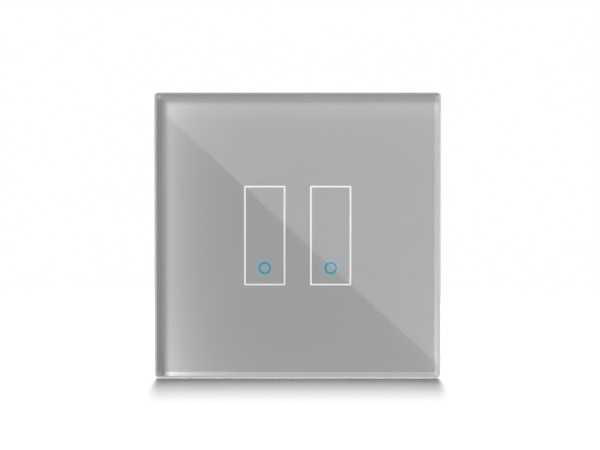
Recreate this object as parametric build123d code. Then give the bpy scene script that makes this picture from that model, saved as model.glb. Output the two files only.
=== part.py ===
from build123d import *
import os
from math import cos, pi, radians, sin, sqrt, tan

# Touch light switch with two zones and a square glass front, for a round 60 mm wall box.
# X is to the right, Z is up and the glass faces -Y. The origin is the middle of the
# mounting frame's back face, which lies on the wall, so what has positive Y is inside
# the wall box. All sizes are millimetres and angles are degrees.

# Glass front
PANEL_SIDE = 86.0
GLASS_THICKNESS = 4.0
GLASS_CORNER_RADIUS = 1.2
GLASS_ARRIS_RADIUS = 1.2
ROLL_OFF_WIDTH = 5.0
ROLL_OFF_DROP = 0.3
PRINT_THICKNESS = 0.15
PRINT_MARGIN = 0.6
ADHESIVE_THICKNESS = 0.25

# Touch zones, measured along the middle of their printed line
ZONE_WIDTH = 11.9
ZONE_HEIGHT = 29.5
ZONE_SPACING = 19.85
ZONE_LINE = 0.5
RING_DIAMETER = 3.2
RING_LINE = 0.55
RING_BELOW_ZONE_CENTRE = 9.8

# Panel carrier behind the glass
CARRIER_INSET = 0.8
CARRIER_WEB = 1.2
CARRIER_WALL = 1.4
CARRIER_CORNER_RADIUS = 1.6
CARRIER_TO_WALL_GAP = 0.4
CARRIER_WINDOW_MARGIN = 0.6
CARRIER_WINDOW_RADIUS = 1.0
PRY_NOTCH_WIDTH = 10.0
PRY_NOTCH_DEPTH = 1.6
CARRIER_RIM_RADIUS = 0.5

# Steel mounting frame
FRAME_TO_CARRIER_GAP = 2.8
FRAME_THICKNESS = 1.2
FRAME_CORNER_RADIUS = 4.0
FRAME_LIP_HEIGHT = 1.8
FRAME_LIP_LENGTH = 44.0
BOX_SCREW_SPACING = 60.0
BOX_SLOT_WIDTH = 4.0
BOX_SLOT_LENGTH = 7.0

# Spring clips on the frame, and the carrier ribs that they grip
CLIP_SHEET = 0.4
CLIP_LENGTH = 6.0
CLIP_FOOT = 1.6
CLIP_TIP_GAP = 0.6
CLIP_FROM_FRAME_EDGE = 4.0
CLIP_SPACING = 48.0
CLIP_CLEARANCE = 0.06
RIB_THICKNESS = 1.2
RIB_LENGTH = 8.0
RIB_TIP_GAP = 0.4

# Rear housing, which fits in the round wall box and between its screws
WALL_BOX_DIAMETER = 60.0
WALL_BOX_CLEARANCE = 1.5
SLOT_TO_HOUSING = 1.5
HOUSING_WALL = 1.8
HOUSING_EDGE_RADIUS = 1.2
OPENING_CLEARANCE = 0.25
FLANGE_THICKNESS = 1.4
FLANGE_LIP = 0.9
FLANGE_CORNER_RADIUS = 2.0
EAR_LENGTH = 5.5
EAR_SCREW_SPACING = 34.0
VENT_COUNT = 5
VENT_WIDTH = 1.2
VENT_PITCH = 3.0
BACK_VENT_LENGTH = 12.0
TOP_VENT_LENGTH = 8.0
LABEL_WIDTH = 26.0
LABEL_HEIGHT = 8.5
LABEL_CORNER_RADIUS = 1.0
LABEL_RECESS = 0.3
LABEL_TO_VENTS = 2.4

# Inner cover over the touch board
COVER_THICKNESS = 1.2
COVER_CORNER_RADIUS = 2.0
COVER_EDGE_RADIUS = 0.5
COVER_LEG_THICKNESS = 1.2
COVER_LEG_WIDTH = 8.0
COVER_LEG_CLEARANCE = 0.1
COVER_BARB = 0.5
COVER_BARB_LENGTH = 1.3
COVER_HOLE_CLEARANCE = 0.2
BOARD_PIN_RADIUS = 1.2
BOARD_PIN_ANGLE = 41.5
BOARD_PIN_TO_WALL = 2.1
PANEL_AIR_GAP = 0.6

# Boards, with the ledges and posts that carry them
TOUCH_BOARD_SET_BACK = 1.0
TOUCH_BOARD_THICKNESS = 1.2
POWER_BOARD_THICKNESS = 1.6
BOARD_SPACING = 8.2
BOARD_CLEARANCE = 0.4
LEDGE_DEPTH = 1.5
LEDGE_LENGTH = 5.0
LEDGE_SPACING = 18.0
POST_RADIUS = 2.2
POST_TO_WALL = 0.5
UPPER_POST_ANGLE = 45.0
LOWER_POST_ANGLE = -40.5

# Touch springs, light pipes and lamps
SPRING_RADIUS = 2.8
SPRING_WIRE = 0.45
SPRING_TURNS = 5
SPRING_END_GAP = 0.05
SPRING_ABOVE_ZONE_CENTRE = 3.0
PIPE_RADIUS = 2.3
PIPE_POCKET_RADIUS = 1.2
PIPE_POCKET_DEPTH = 1.0
PIPE_END_GAP = 0.1
LAMP_LENGTH = 1.6
LAMP_WIDTH = 0.8
LAMP_HEIGHT = 0.6

# Parts on the back of the touch board
RADIO_WIDTH = 16.0
RADIO_HEIGHT = 13.0
RADIO_BOARD = 0.8
RADIO_Z = 9.0
SHIELD_INSET = 1.2
ANTENNA_LENGTH = 3.0
SHIELD_HEIGHT = 2.0
SHIELD_SHEET = 0.2
CHIP_SIDE = 7.0
CHIP_HEIGHT = 1.2
CHIP_TO_RADIO = 2.0
CHIP_Z = 5.0
HEADER_PINS = 6
HEADER_PITCH = 2.54
HEADER_BLOCK = 2.5
HEADER_Z = -9.0
HEADER_GAP = 0.4
PIN_SIDE = 0.64
PIN_REACH = 4.0
PIN_HOLE_CLEARANCE = 0.15

# Parts on the back of the power board
TRANSFORMER_WIDTH = 12.0
TRANSFORMER_LENGTH = 11.0
TRANSFORMER_HEIGHT = 11.0
TRANSFORMER_Z = 7.5
CORE_LIMB = 2.6
CORE_POST_RADIUS = 1.6
WINDING_GAP = 0.1
FILTER_CAP_RADIUS = 3.15
FILTER_CAP_HEIGHT = 11.0
FILTER_CAP_GAP = 0.7
FILTER_CAP_TO_TRANSFORMER = 3.0
UPPER_ROW_TO_TRANSFORMER = 2.4
UPPER_ROW_RIGHT_END = 12.7
UPPER_ROW_GAP = 2.1
FILM_CAP_LENGTH = 9.0
FILM_CAP_WIDTH = 4.5
FILM_CAP_HEIGHT = 9.0
VARISTOR_RADIUS = 3.4
VARISTOR_THICKNESS = 3.2
FUSE_RADIUS = 2.1
FUSE_HEIGHT = 8.0
COMPONENT_EDGE = 0.4

# Relays
RELAY_WIDTH = 10.0
RELAY_LENGTH = 18.0
RELAY_HEIGHT = 12.4
RELAY_Z = 2.5
RELAY_TO_HOUSING = 0.6
RELAY_WALL = 0.6
RELAY_BASE = 1.0
RELAY_FIT = 0.1
RELAY_INNER_GAP = 0.4
YOKE_SHEET = 1.2
YOKE_WIDTH = 6.4
YOKE_FOOT_MARGIN = 1.0
COIL_RADIUS = 3.8
BOBBIN_FLANGE = 0.6
BOBBIN_BARREL_RADIUS = 1.9
CORE_RADIUS = 1.3
CORE_FIT = 0.05
POLE_RADIUS = 2.2
POLE_HEIGHT = 0.8
ARMATURE_SHEET = 0.8
ARMATURE_WIDTH = 6.0
ARMATURE_THROW = 3.3
ARMATURE_END_GAP = 0.04
ARMATURE_HINGE_GAP = 0.12
ARM_SHEET = 0.3
ARM_WIDTH = 3.2
CONTACT_RADIUS = 1.2
CONTACT_HEIGHT = 0.4
CONTACT_STRIP = 0.4

# Terminals, one pole each for neutral, live and the two switched lines
POLE_COUNT = 4
POLE_PITCH = 7.0
POLE_SIDE_GAP = 0.2
POLE_FLOOR = 0.9
POLE_EDGE = 0.35
WIRE_BORE_RADIUS = 1.5
WIRE_BORE_LENGTH = 2.6
BAR_THICKNESS = 1.0
BAR_WIDTH = 2.8
BAR_OVERHANG = 2.3
BAR_TAIL = 1.0
BAR_FIT = 0.05
CAGE_SIDE_WALL = 0.7
CAGE_FRONT_WALL = 0.8
CAGE_THREAD_WALL = 1.6
CAGE_LENGTH = 5.0
CAGE_TO_BAR_GAP = 0.3
CAGE_CLEARANCE = 0.15
CLAMP_END_GAP = 0.2
NECK_WALL = 0.6
CLAMP_SCREW_RADIUS = 1.3
CLAMP_SCREW_FIT = 0.06
CLAMP_HEAD_RADIUS = 2.1
CLAMP_HEAD_HEIGHT = 1.8
CLAMP_HEAD_EDGE = 0.35
CLAMP_HEAD_CLEARANCE = 0.2
CLAMP_HEAD_RECESS = 1.2
CLAMP_SLOT_DEPTH = 0.9
TERMINAL_RECESS = 0.5

# Small screws, from the housing to the frame and from the power board to its posts
SMALL_SCREW_RADIUS = 1.2
SMALL_SCREW_FIT = 0.05
SMALL_HEAD_RADIUS = 2.1
SMALL_HEAD_HEIGHT = 1.2
SMALL_HEAD_EDGE = 0.4
SMALL_SLOT_DEPTH = 0.7
BOARD_SCREW_LENGTH = 7.0

# Drive recesses of all the screws
DRIVE_SLOT_WIDTH = 0.7
DRIVE_CROSS_LENGTH = 2.6

SIDES = {"left": -1, "right": 1}
BOTH = tuple(SIDES.values())

# Places through the thickness, from the wall plane to the front of the glass
frame_front = -FRAME_THICKNESS
flange_front = frame_front - FLANGE_THICKNESS
cover_front = flange_front - COVER_THICKNESS
web_back = cover_front - PANEL_AIR_GAP
web_front = web_back - CARRIER_WEB
print_back = web_front - ADHESIVE_THICKNESS
glass_back = print_back - PRINT_THICKNESS
glass_front = glass_back - GLASS_THICKNESS
carrier_rim = -CARRIER_TO_WALL_GAP

# Places through the depth of the wall box, from the touch board backwards
touch_front = TOUCH_BOARD_SET_BACK
touch_back = touch_front + TOUCH_BOARD_THICKNESS
power_front = touch_back + BOARD_SPACING
power_back = power_front + POWER_BOARD_THICKNESS

# Places inside a terminal, from the power board backwards
cavity_front = power_back + POLE_FLOOR
cage_front = cavity_front + CAGE_CLEARANCE
wire_front = cage_front + CAGE_FRONT_WALL
bar_front = wire_front + 2 * WIRE_BORE_RADIUS
bar_back = bar_front + BAR_THICKNESS
cage_thread = bar_back + CAGE_TO_BAR_GAP
cage_back = cage_thread + CAGE_THREAD_WALL
clamp_travel = bar_front - wire_front - CLAMP_END_GAP
cavity_back = cage_back + clamp_travel + CAGE_CLEARANCE
well_floor = cavity_back + NECK_WALL
head_seat = well_floor + CLAMP_HEAD_CLEARANCE
pole_back = head_seat + CLAMP_HEAD_HEIGHT + CLAMP_HEAD_RECESS

# The housing is as deep as its terminals and its tallest component need
component_reach = max(RELAY_HEIGHT, TRANSFORMER_HEIGHT, FILTER_CAP_HEIGHT, FILM_CAP_HEIGHT, FUSE_HEIGHT)
component_floor = power_back + component_reach + BOARD_CLEARANCE
terminal_floor = pole_back + TERMINAL_RECESS - HOUSING_WALL
housing_floor = max(component_floor, terminal_floor)
housing_back = housing_floor + HOUSING_WALL

# Widths and heights of the layers
carrier_half = PANEL_SIDE / 2 - CARRIER_INSET
carrier_inside = carrier_half - CARRIER_WALL
frame_half = carrier_inside - FRAME_TO_CARRIER_GAP
housing_half = (BOX_SCREW_SPACING - BOX_SLOT_LENGTH) / 2 - SLOT_TO_HOUSING
housing_round = WALL_BOX_DIAMETER / 2 - WALL_BOX_CLEARANCE
inner_half = housing_half - HOUSING_WALL
inner_round = housing_round - HOUSING_WALL
flange_half_width = housing_half + FLANGE_LIP
flange_half_height = housing_half + EAR_LENGTH

# Places across the front
zone_x = ZONE_SPACING / 2
ring_z = -RING_BELOW_ZONE_CENTRE
spring_z = SPRING_ABOVE_ZONE_CENTRE
spring_hole_radius = SPRING_RADIUS + SPRING_WIRE / 2 + COVER_HOLE_CLEARANCE

# Places of the row above the transformer, from its right end leftwards
upper_row_z = TRANSFORMER_Z + TRANSFORMER_LENGTH / 2 + UPPER_ROW_TO_TRANSFORMER + FILM_CAP_WIDTH / 2
film_cap_x = UPPER_ROW_RIGHT_END - FILM_CAP_LENGTH / 2
varistor_x = film_cap_x - FILM_CAP_LENGTH / 2 - UPPER_ROW_GAP - VARISTOR_RADIUS
fuse_x = varistor_x - VARISTOR_RADIUS - UPPER_ROW_GAP - FUSE_RADIUS

# Places of a terminal's pieces from the bottom of the housing upwards
cavity_bottom = -housing_half + WIRE_BORE_LENGTH
cage_bottom = cavity_bottom + CAGE_CLEARANCE
cage_top = cage_bottom + CAGE_LENGTH
cavity_top = cage_top + CAGE_CLEARANCE
clamp_z = (cage_bottom + cage_top) / 2
bar_top = cavity_top + BAR_OVERHANG
tail_bottom = bar_top - BAR_THICKNESS
pole_top_z = bar_top + NECK_WALL
cage_inside = BAR_WIDTH / 2 + CAGE_CLEARANCE
cage_half = cage_inside + CAGE_SIDE_WALL
pole_half = (POLE_PITCH - POLE_SIDE_GAP) / 2
wire_y = (wire_front + bar_front) / 2

# Places along a relay, counted from its middle
relay_half = RELAY_LENGTH / 2
relay_inside = relay_half - RELAY_WALL
coil_z = -relay_inside + RELAY_INNER_GAP + COIL_RADIUS
upright_z = coil_z + COIL_RADIUS + RELAY_INNER_GAP
hinge_z = upright_z + YOKE_SHEET / 2
leg_end = relay_inside - RELAY_FIT
contact_z = leg_end - CONTACT_STRIP - RELAY_INNER_GAP - CONTACT_RADIUS

# Gaps that the armature's throw closes, at the pole's and the contact's far edges
throw = tan(radians(ARMATURE_THROW))
pole_gap = (hinge_z - coil_z + POLE_RADIUS) * throw + ARMATURE_END_GAP
contact_gap = (contact_z + CONTACT_RADIUS - hinge_z) * throw + ARMATURE_END_GAP

# Places through a relay, from its back to its base
relay_top = power_back + RELAY_HEIGHT
strip_back = relay_top - RELAY_WALL - RELAY_INNER_GAP
strip_front = strip_back - CONTACT_STRIP
fixed_contact_front = strip_front - CONTACT_HEIGHT
arm_back = fixed_contact_front - contact_gap - CONTACT_HEIGHT
arm_front = arm_back - ARM_SHEET
armature_front = arm_front - ARMATURE_SHEET
pole_face = armature_front - pole_gap
yoke_end = armature_front - ARMATURE_HINGE_GAP
hinge_y = yoke_end - YOKE_SHEET / 2
base_back = power_back + RELAY_BASE
foot_back = base_back + YOKE_SHEET
bobbin_front = foot_back + RELAY_FIT
bobbin_back = pole_face - POLE_HEIGHT - RELAY_FIT


def block(x0, x1, y0, y1, z0, z1):
    """A box between two corners."""
    middle = Pos((x0 + x1) / 2, (y0 + y1) / 2, (z0 + z1) / 2)
    return middle * Box(abs(x1 - x0), abs(y1 - y0), abs(z1 - z0))


def plate(half_width, half_height, y0, y1, corner=0.0):
    """A plate square to Y, about the middle of the switch, with rounded corners."""
    body = block(-half_width, half_width, y0, y1, -half_height, half_height)
    if corner > 0:
        body = fillet(body.edges().filter_by(Axis.Y), corner)
    return body


def rod(radius, y0, y1, x=0.0, z=0.0):
    """A round bar along Y."""
    return Pos(x, (y0 + y1) / 2, z) * Rot(90, 0, 0) * Cylinder(radius, abs(y1 - y0))


def tub(half, round_radius, y0, y1):
    """A square column along Y with its corners cut to a round."""
    return plate(half, half, y0, y1) & rod(round_radius, y0, y1)


def group(solids):
    """Separate solids that share one name."""
    return Compound(children=list(solids))


def polar_places(reach, angle):
    """A place at the given reach and angle, and its mirror image on the left."""
    return [(side * reach * cos(radians(angle)), reach * sin(radians(angle))) for side in BOTH]


# Glass front


def glass_section():
    """The glass cut across: flat at the back, with a front that rolls off to its two edges."""
    half = PANEL_SIDE / 2
    flat = half - ROLL_OFF_WIDTH
    shoulder = glass_front + ROLL_OFF_DROP
    roll_radius = (ROLL_OFF_WIDTH**2 + ROLL_OFF_DROP**2) / (2 * ROLL_OFF_DROP)
    middle = flat + ROLL_OFF_WIDTH / 2
    middle_y = glass_front + roll_radius - sqrt(roll_radius**2 - (ROLL_OFF_WIDTH / 2) ** 2)
    outline = Polyline((-half, shoulder), (-half, glass_back), (half, glass_back), (half, shoulder))
    outline += ThreePointArc((half, shoulder), (middle, middle_y), (flat, glass_front))
    outline += Line((flat, glass_front), (-flat, glass_front))
    outline += ThreePointArc((-flat, glass_front), (-middle, middle_y), (-half, shoulder))
    face = make_face(outline)
    shoulders = face.vertices().group_by(Axis.Y)[1]
    return fillet(shoulders, GLASS_ARRIS_RADIUS)


def glass_panel():
    """A square plate of glass whose front rolls off on all four sides."""
    half = PANEL_SIDE / 2
    run = extrude(glass_section(), half, both=True)
    blank = plate(half, half, glass_front, glass_back, GLASS_CORNER_RADIUS)
    return run & (Rot(0, 90, 0) * run) & blank


def zone_outline(side):
    """The printed line round one touch zone."""
    outer = plate((ZONE_WIDTH + ZONE_LINE) / 2, (ZONE_HEIGHT + ZONE_LINE) / 2, glass_back, print_back)
    inner = plate((ZONE_WIDTH - ZONE_LINE) / 2, (ZONE_HEIGHT - ZONE_LINE) / 2, glass_back, print_back)
    return Pos(side * zone_x, 0, 0) * (outer - inner)


def ring_window(side):
    """The clear ring over one lamp."""
    outer = rod((RING_DIAMETER + RING_LINE) / 2, glass_back, print_back, side * zone_x, ring_z)
    inner = rod((RING_DIAMETER - RING_LINE) / 2, glass_back, print_back, side * zone_x, ring_z)
    return outer - inner


def back_print():
    """The lacquer on the back of the glass, with the outlines and rings left out."""
    half = PANEL_SIDE / 2 - PRINT_MARGIN
    layer = plate(half, half, glass_back, print_back, GLASS_CORNER_RADIUS)
    for side in BOTH:
        layer -= zone_outline(side)
        layer -= ring_window(side)
    return layer


# Panel carrier, with its adhesive


def zone_window(side, y0, y1):
    """The opening behind one zone, where the spring and the light pipe reach the glass."""
    half_width = (ZONE_WIDTH + ZONE_LINE) / 2 + CARRIER_WINDOW_MARGIN
    half_height = (ZONE_HEIGHT + ZONE_LINE) / 2 + CARRIER_WINDOW_MARGIN
    return Pos(side * zone_x, 0, 0) * plate(half_width, half_height, y0, y1, CARRIER_WINDOW_RADIUS)


def panel_adhesive():
    """The die-cut adhesive sheet between the lacquer and the carrier."""
    sheet = plate(carrier_inside, carrier_inside, print_back, web_front, CARRIER_CORNER_RADIUS)
    for side in BOTH:
        sheet -= zone_window(side, print_back, web_front)
    return sheet


def clip_places():
    """The middles of the four spring clips."""
    clip_x = frame_half - CLIP_FROM_FRAME_EDGE
    return [(side * clip_x, end * CLIP_SPACING / 2) for side in BOTH for end in BOTH]


def clip_rib(x, z):
    """A rib of the carrier that one clip grips."""
    half = RIB_THICKNESS / 2
    tip = frame_front - CLIP_SHEET - RIB_TIP_GAP
    return block(x - half, x + half, web_back, tip, z - RIB_LENGTH / 2, z + RIB_LENGTH / 2)


def panel_carrier():
    """The plastic tray behind the glass: a web, a wall round it and four ribs."""
    tray = plate(carrier_half, carrier_half, web_front, carrier_rim, CARRIER_CORNER_RADIUS)
    tray = fillet(tray.faces().sort_by(Axis.Y)[-1].edges(), CARRIER_RIM_RADIUS)
    inside = plate(carrier_inside, carrier_inside, web_back, carrier_rim, CARRIER_CORNER_RADIUS)
    tray -= inside
    for side in BOTH:
        tray -= zone_window(side, web_front, web_back)
    for x, z in clip_places():
        tray += clip_rib(x, z)
    notch = PRY_NOTCH_WIDTH / 2
    notch_front = carrier_rim - PRY_NOTCH_DEPTH
    return tray - block(-notch, notch, notch_front, carrier_rim, -carrier_half, -carrier_inside)


# Mounting frame, with its clips


def panel_clip(x, z):
    """A fork of spring steel, welded to the frame, that grips one rib."""
    inside = RIB_THICKNESS / 2 + CLIP_CLEARANCE
    outside = inside + CLIP_SHEET
    half = CLIP_LENGTH / 2
    foot = outside + CLIP_FOOT
    clip = block(x - foot, x + foot, frame_front - CLIP_SHEET, frame_front, z - half, z + half)
    tip = web_back + CLIP_TIP_GAP
    for side in BOTH:
        clip += block(x + side * inside, x + side * outside, tip, frame_front, z - half, z + half)
    return clip


def box_slot(side):
    """A slot for a wall box screw, long enough to square the switch up."""
    x = side * BOX_SCREW_SPACING / 2
    radius = BOX_SLOT_WIDTH / 2
    end = BOX_SLOT_LENGTH / 2 - radius
    slot = block(x - end, x + end, frame_front, 0, -radius, radius)
    return slot + rod(radius, frame_front, 0, x - end) + rod(radius, frame_front, 0, x + end)


def ear_screw_places():
    """The middles of the screws from the housing's ears to the frame."""
    z = housing_half + EAR_LENGTH / 2
    return [(side * EAR_SCREW_SPACING / 2, end * z) for side in BOTH for end in BOTH]


def small_hole(x, z, y0, y1):
    """A hole that a small screw fits."""
    return rod(SMALL_SCREW_RADIUS + SMALL_SCREW_FIT, y0, y1, x, z)


def mounting_frame():
    """The steel plate on the wall, with a stiffening lip above and below its opening."""
    frame = plate(frame_half, frame_half, frame_front, 0, FRAME_CORNER_RADIUS)
    lip = FRAME_LIP_LENGTH / 2
    for side in BOTH:
        inner = side * (frame_half - FRAME_THICKNESS)
        frame += block(-lip, lip, frame_front - FRAME_LIP_HEIGHT, frame_front, inner, side * frame_half)
    frame -= tub(housing_half + OPENING_CLEARANCE, housing_round + OPENING_CLEARANCE, frame_front, 0)
    for side in BOTH:
        frame -= box_slot(side)
    for x, z in ear_screw_places():
        frame -= small_hole(x, z, frame_front, 0)
    return frame


# Rear housing


def terminal_cutout():
    """The row of terminals' way out through the housing's floor and lower wall."""
    half = POLE_COUNT * POLE_PITCH / 2
    top = pole_top_z + POLE_SIDE_GAP
    return block(-half, half, power_back - POLE_SIDE_GAP, housing_back, -housing_round, top)


def post_places():
    """The middles of the four posts under the power board."""
    reach = inner_round - POST_RADIUS - POST_TO_WALL
    return polar_places(reach, UPPER_POST_ANGLE) + polar_places(reach, LOWER_POST_ANGLE)


def board_screw_places():
    """The two posts that take a screw, corner to corner."""
    places = post_places()
    return [places[0], places[3]]


def ledge_places():
    """The middles of the four ledges along the housing's sides."""
    return [(side, end * LEDGE_SPACING / 2) for side in BOTH for end in BOTH]


def leg_pocket(side):
    """The pocket in the housing's wall that a leg of the cover snaps into."""
    half = COVER_LEG_WIDTH / 2 + COVER_LEG_CLEARANCE
    inner = side * (inner_half - COVER_LEG_CLEARANCE)
    outer = side * (inner_half + COVER_BARB)
    front = touch_front - COVER_BARB_LENGTH - 2 * COVER_LEG_CLEARANCE
    return block(-half, half, front, touch_front, inner, outer)


def vent_places():
    """Where the vents lie, counted from the middle of their row."""
    return [(index - (VENT_COUNT - 1) / 2) * VENT_PITCH for index in range(VENT_COUNT)]


def back_vent(z):
    """A vent across the housing's floor."""
    half = BACK_VENT_LENGTH / 2
    return block(-half, half, housing_floor, housing_back, z - VENT_WIDTH / 2, z + VENT_WIDTH / 2)


def top_vent(x):
    """A vent along the housing's top wall."""
    middle = (power_back + housing_floor) / 2
    half_length = TOP_VENT_LENGTH / 2
    half = VENT_WIDTH / 2
    return block(x - half, x + half, middle - half_length, middle + half_length, inner_half, housing_half)


def label_recess():
    """A bare shallow recess above the vents, where a label would go."""
    top_vent_edge = RELAY_Z + vent_places()[-1] + VENT_WIDTH / 2
    middle = top_vent_edge + LABEL_TO_VENTS + LABEL_HEIGHT / 2
    front = housing_back - LABEL_RECESS
    recess = plate(LABEL_WIDTH / 2, LABEL_HEIGHT / 2, front, housing_back, LABEL_CORNER_RADIUS)
    return Pos(0, 0, middle) * recess


def housing_shell():
    """The tub of the housing, with its flange and ears on the frame."""
    shell = tub(housing_half, housing_round, flange_front, housing_back)
    shell = fillet(shell.faces().sort_by(Axis.Y)[-1].edges(), HOUSING_EDGE_RADIUS)
    shell += plate(flange_half_width, flange_half_height, flange_front, frame_front, FLANGE_CORNER_RADIUS)
    return shell - tub(inner_half, inner_round, flange_front, housing_floor)


def rear_housing():
    """The deep housing in the wall box, with ledges and posts for the boards, and vents."""
    shell = housing_shell()
    buried = HOUSING_WALL / 2
    for side, z in ledge_places():
        inner = side * (inner_half - LEDGE_DEPTH)
        outer = side * (inner_half + buried)
        half = LEDGE_LENGTH / 2
        shell += block(inner, outer, touch_back, housing_floor + buried, z - half, z + half)
    for x, z in post_places():
        shell += rod(POST_RADIUS, power_back, housing_floor + buried, x, z)
    for x, z in board_screw_places():
        shell -= small_hole(x, z, power_back, power_front + BOARD_SCREW_LENGTH + SMALL_SCREW_FIT)
    for x, z in ear_screw_places():
        shell -= small_hole(x, z, flange_front, frame_front)
    for side in BOTH:
        shell -= leg_pocket(side)
    for place in vent_places():
        shell -= back_vent(RELAY_Z + place)
        shell -= top_vent(place)
    return shell - label_recess() - terminal_cutout()


def drive_cross(x, z, y0, y1):
    """The cross-shaped recess in a screw's head."""
    long = DRIVE_CROSS_LENGTH / 2
    thin = DRIVE_SLOT_WIDTH / 2
    across = block(x - long, x + long, y0, y1, z - thin, z + thin)
    return across + block(x - thin, x + thin, y0, y1, z - long, z + long)


def small_screw(x, z, seat, length):
    """A pan-head screw that is driven backwards, with its head on the face at seat."""
    top = seat - SMALL_HEAD_HEIGHT
    head = rod(SMALL_HEAD_RADIUS, top, seat, x, z)
    head = fillet(head.edges().filter_by(GeomType.CIRCLE).sort_by(Axis.Y)[0], SMALL_HEAD_EDGE)
    shank = rod(SMALL_SCREW_RADIUS, seat, seat + length, x, z)
    return head + shank - drive_cross(x, z, top, top + SMALL_SLOT_DEPTH)


def housing_screws():
    """Four short screws through the ears into the frame's threads."""
    length = FLANGE_THICKNESS + FRAME_THICKNESS - SMALL_SCREW_FIT
    return group(small_screw(x, z, flange_front, length) for x, z in ear_screw_places())


def board_screws():
    """Two screws that hold the power board to its posts."""
    return group(small_screw(x, z, power_front, BOARD_SCREW_LENGTH) for x, z in board_screw_places())


# Inner cover


def cover_leg(side):
    """A snap leg of the inner cover, with its barb."""
    face = inner_half - COVER_LEG_CLEARANCE
    end = touch_front - COVER_LEG_CLEARANCE
    half = COVER_LEG_WIDTH / 2
    leg = block(-half, half, flange_front, end, side * face, side * (face - COVER_LEG_THICKNESS))
    return leg + block(-half, half, end - COVER_BARB_LENGTH, end, side * face, side * (face + COVER_BARB))


def inner_cover():
    """The moulded cover over the touch board, open for the springs and light pipes."""
    cover = plate(flange_half_width, housing_half, cover_front, flange_front, COVER_CORNER_RADIUS)
    cover = fillet(cover.faces().sort_by(Axis.Y)[0].edges(), COVER_EDGE_RADIUS)
    for side in BOTH:
        cover += cover_leg(side)
    reach = inner_round - BOARD_PIN_RADIUS - BOARD_PIN_TO_WALL
    for x, z in polar_places(reach, BOARD_PIN_ANGLE) + polar_places(reach, -BOARD_PIN_ANGLE):
        cover += rod(BOARD_PIN_RADIUS, cover_front, touch_front, x, z)
    for side in BOTH:
        cover -= rod(spring_hole_radius, cover_front, flange_front, side * zone_x, spring_z)
        cover -= rod(PIPE_RADIUS + COVER_HOLE_CLEARANCE, cover_front, flange_front, side * zone_x, ring_z)
    return cover


# Touch board and what is on it


def board_outline(y0, y1):
    """The outline that both boards share: the housing's inside, less a clearance."""
    return tub(inner_half - BOARD_CLEARANCE, inner_round - BOARD_CLEARANCE, y0, y1)


def touch_board():
    """The board behind the cover, which lies on the housing's ledges."""
    return board_outline(touch_front, touch_back)


def smooth_pair(start, leaving, end, arriving):
    """Two arcs that run smoothly from one point and direction to another."""
    chord = end - start
    bend = 2 * (1 - leaving.dot(arriving))
    forward = chord.dot(leaving + arriving)
    handle = (sqrt(forward**2 + bend * chord.dot(chord)) - forward) / bend
    first_handle = start + leaving * handle
    last_handle = end - arriving * handle
    joint = (first_handle + last_handle) / 2
    first = TangentArc(start, joint, tangent=leaving)
    return [first, TangentArc(joint, end, tangent=last_handle - first_handle)]


def touch_spring(side):
    """A coil spring from the touch board to the lacquer, which carries the touch signal."""
    clear = SPRING_WIRE / 2 + SPRING_END_GAP
    start = touch_front - clear
    rise = (print_back + clear - start) / SPRING_TURNS

    def place(turn):
        angle = 2 * pi * turn
        x = side * zone_x + SPRING_RADIUS * cos(angle)
        return Vector(x, start + rise * turn, spring_z + SPRING_RADIUS * sin(angle))

    def direction(turn):
        angle = 2 * pi * turn
        speed = 2 * pi * SPRING_RADIUS
        return Vector(-speed * sin(angle), rise, speed * cos(angle)).normalized()

    arcs = []
    for quarter in range(4 * SPRING_TURNS):
        now, then = quarter / 4, (quarter + 1) / 4
        arcs += smooth_pair(place(now), direction(now), place(then), direction(then))
    path = Wire([arc.edge() for arc in arcs])
    section = Plane(origin=place(0), z_dir=direction(0)) * Circle(SPRING_WIRE / 2)
    return sweep(section, path)


def light_pipe(side):
    """A clear rod that carries one lamp's light to its ring."""
    x = side * zone_x
    pipe = rod(PIPE_RADIUS, print_back + PIPE_END_GAP, touch_front, x, ring_z)
    return pipe - rod(PIPE_POCKET_RADIUS, touch_front - PIPE_POCKET_DEPTH, touch_front, x, ring_z)


def lamp(side):
    """A small lamp on the touch board, inside the pocket of its light pipe."""
    x = side * zone_x
    half = LAMP_LENGTH / 2
    low = ring_z - LAMP_WIDTH / 2
    high = ring_z + LAMP_WIDTH / 2
    return block(x - half, x + half, touch_front - LAMP_HEIGHT, touch_front, low, high)


def touch_chip():
    """The chip that senses both zones."""
    x = -(RADIO_WIDTH / 2 + CHIP_TO_RADIO + CHIP_SIDE / 2)
    half = CHIP_SIDE / 2
    return block(x - half, x + half, touch_back, touch_back + CHIP_HEIGHT, CHIP_Z - half, CHIP_Z + half)


def radio_board():
    """The small radio board on the back of the touch board."""
    half_width = RADIO_WIDTH / 2
    half_height = RADIO_HEIGHT / 2
    back = touch_back + RADIO_BOARD
    return block(-half_width, half_width, touch_back, back, RADIO_Z - half_height, RADIO_Z + half_height)


def radio_shield():
    """The pressed lid over the radio, which leaves the antenna end open."""
    front = touch_back + RADIO_BOARD
    back = front + SHIELD_HEIGHT
    half = RADIO_WIDTH / 2 - SHIELD_INSET
    low = RADIO_Z - RADIO_HEIGHT / 2 + SHIELD_INSET
    high = RADIO_Z + RADIO_HEIGHT / 2 - ANTENNA_LENGTH
    lid = block(-half, half, front, back, low, high)
    inside = half - SHIELD_SHEET
    return lid - block(-inside, inside, front, back - SHIELD_SHEET, low + SHIELD_SHEET, high - SHIELD_SHEET)


def pin_places():
    """The middles of the pins in the row between the boards."""
    return [(index - (HEADER_PINS - 1) / 2) * HEADER_PITCH for index in range(HEADER_PINS)]


def header_block(y0, y1):
    """The body of the pin header or of its socket."""
    half = HEADER_PINS * HEADER_PITCH / 2
    return block(-half, half, y0, y1, HEADER_Z - HEADER_PITCH / 2, HEADER_Z + HEADER_PITCH / 2)


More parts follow.
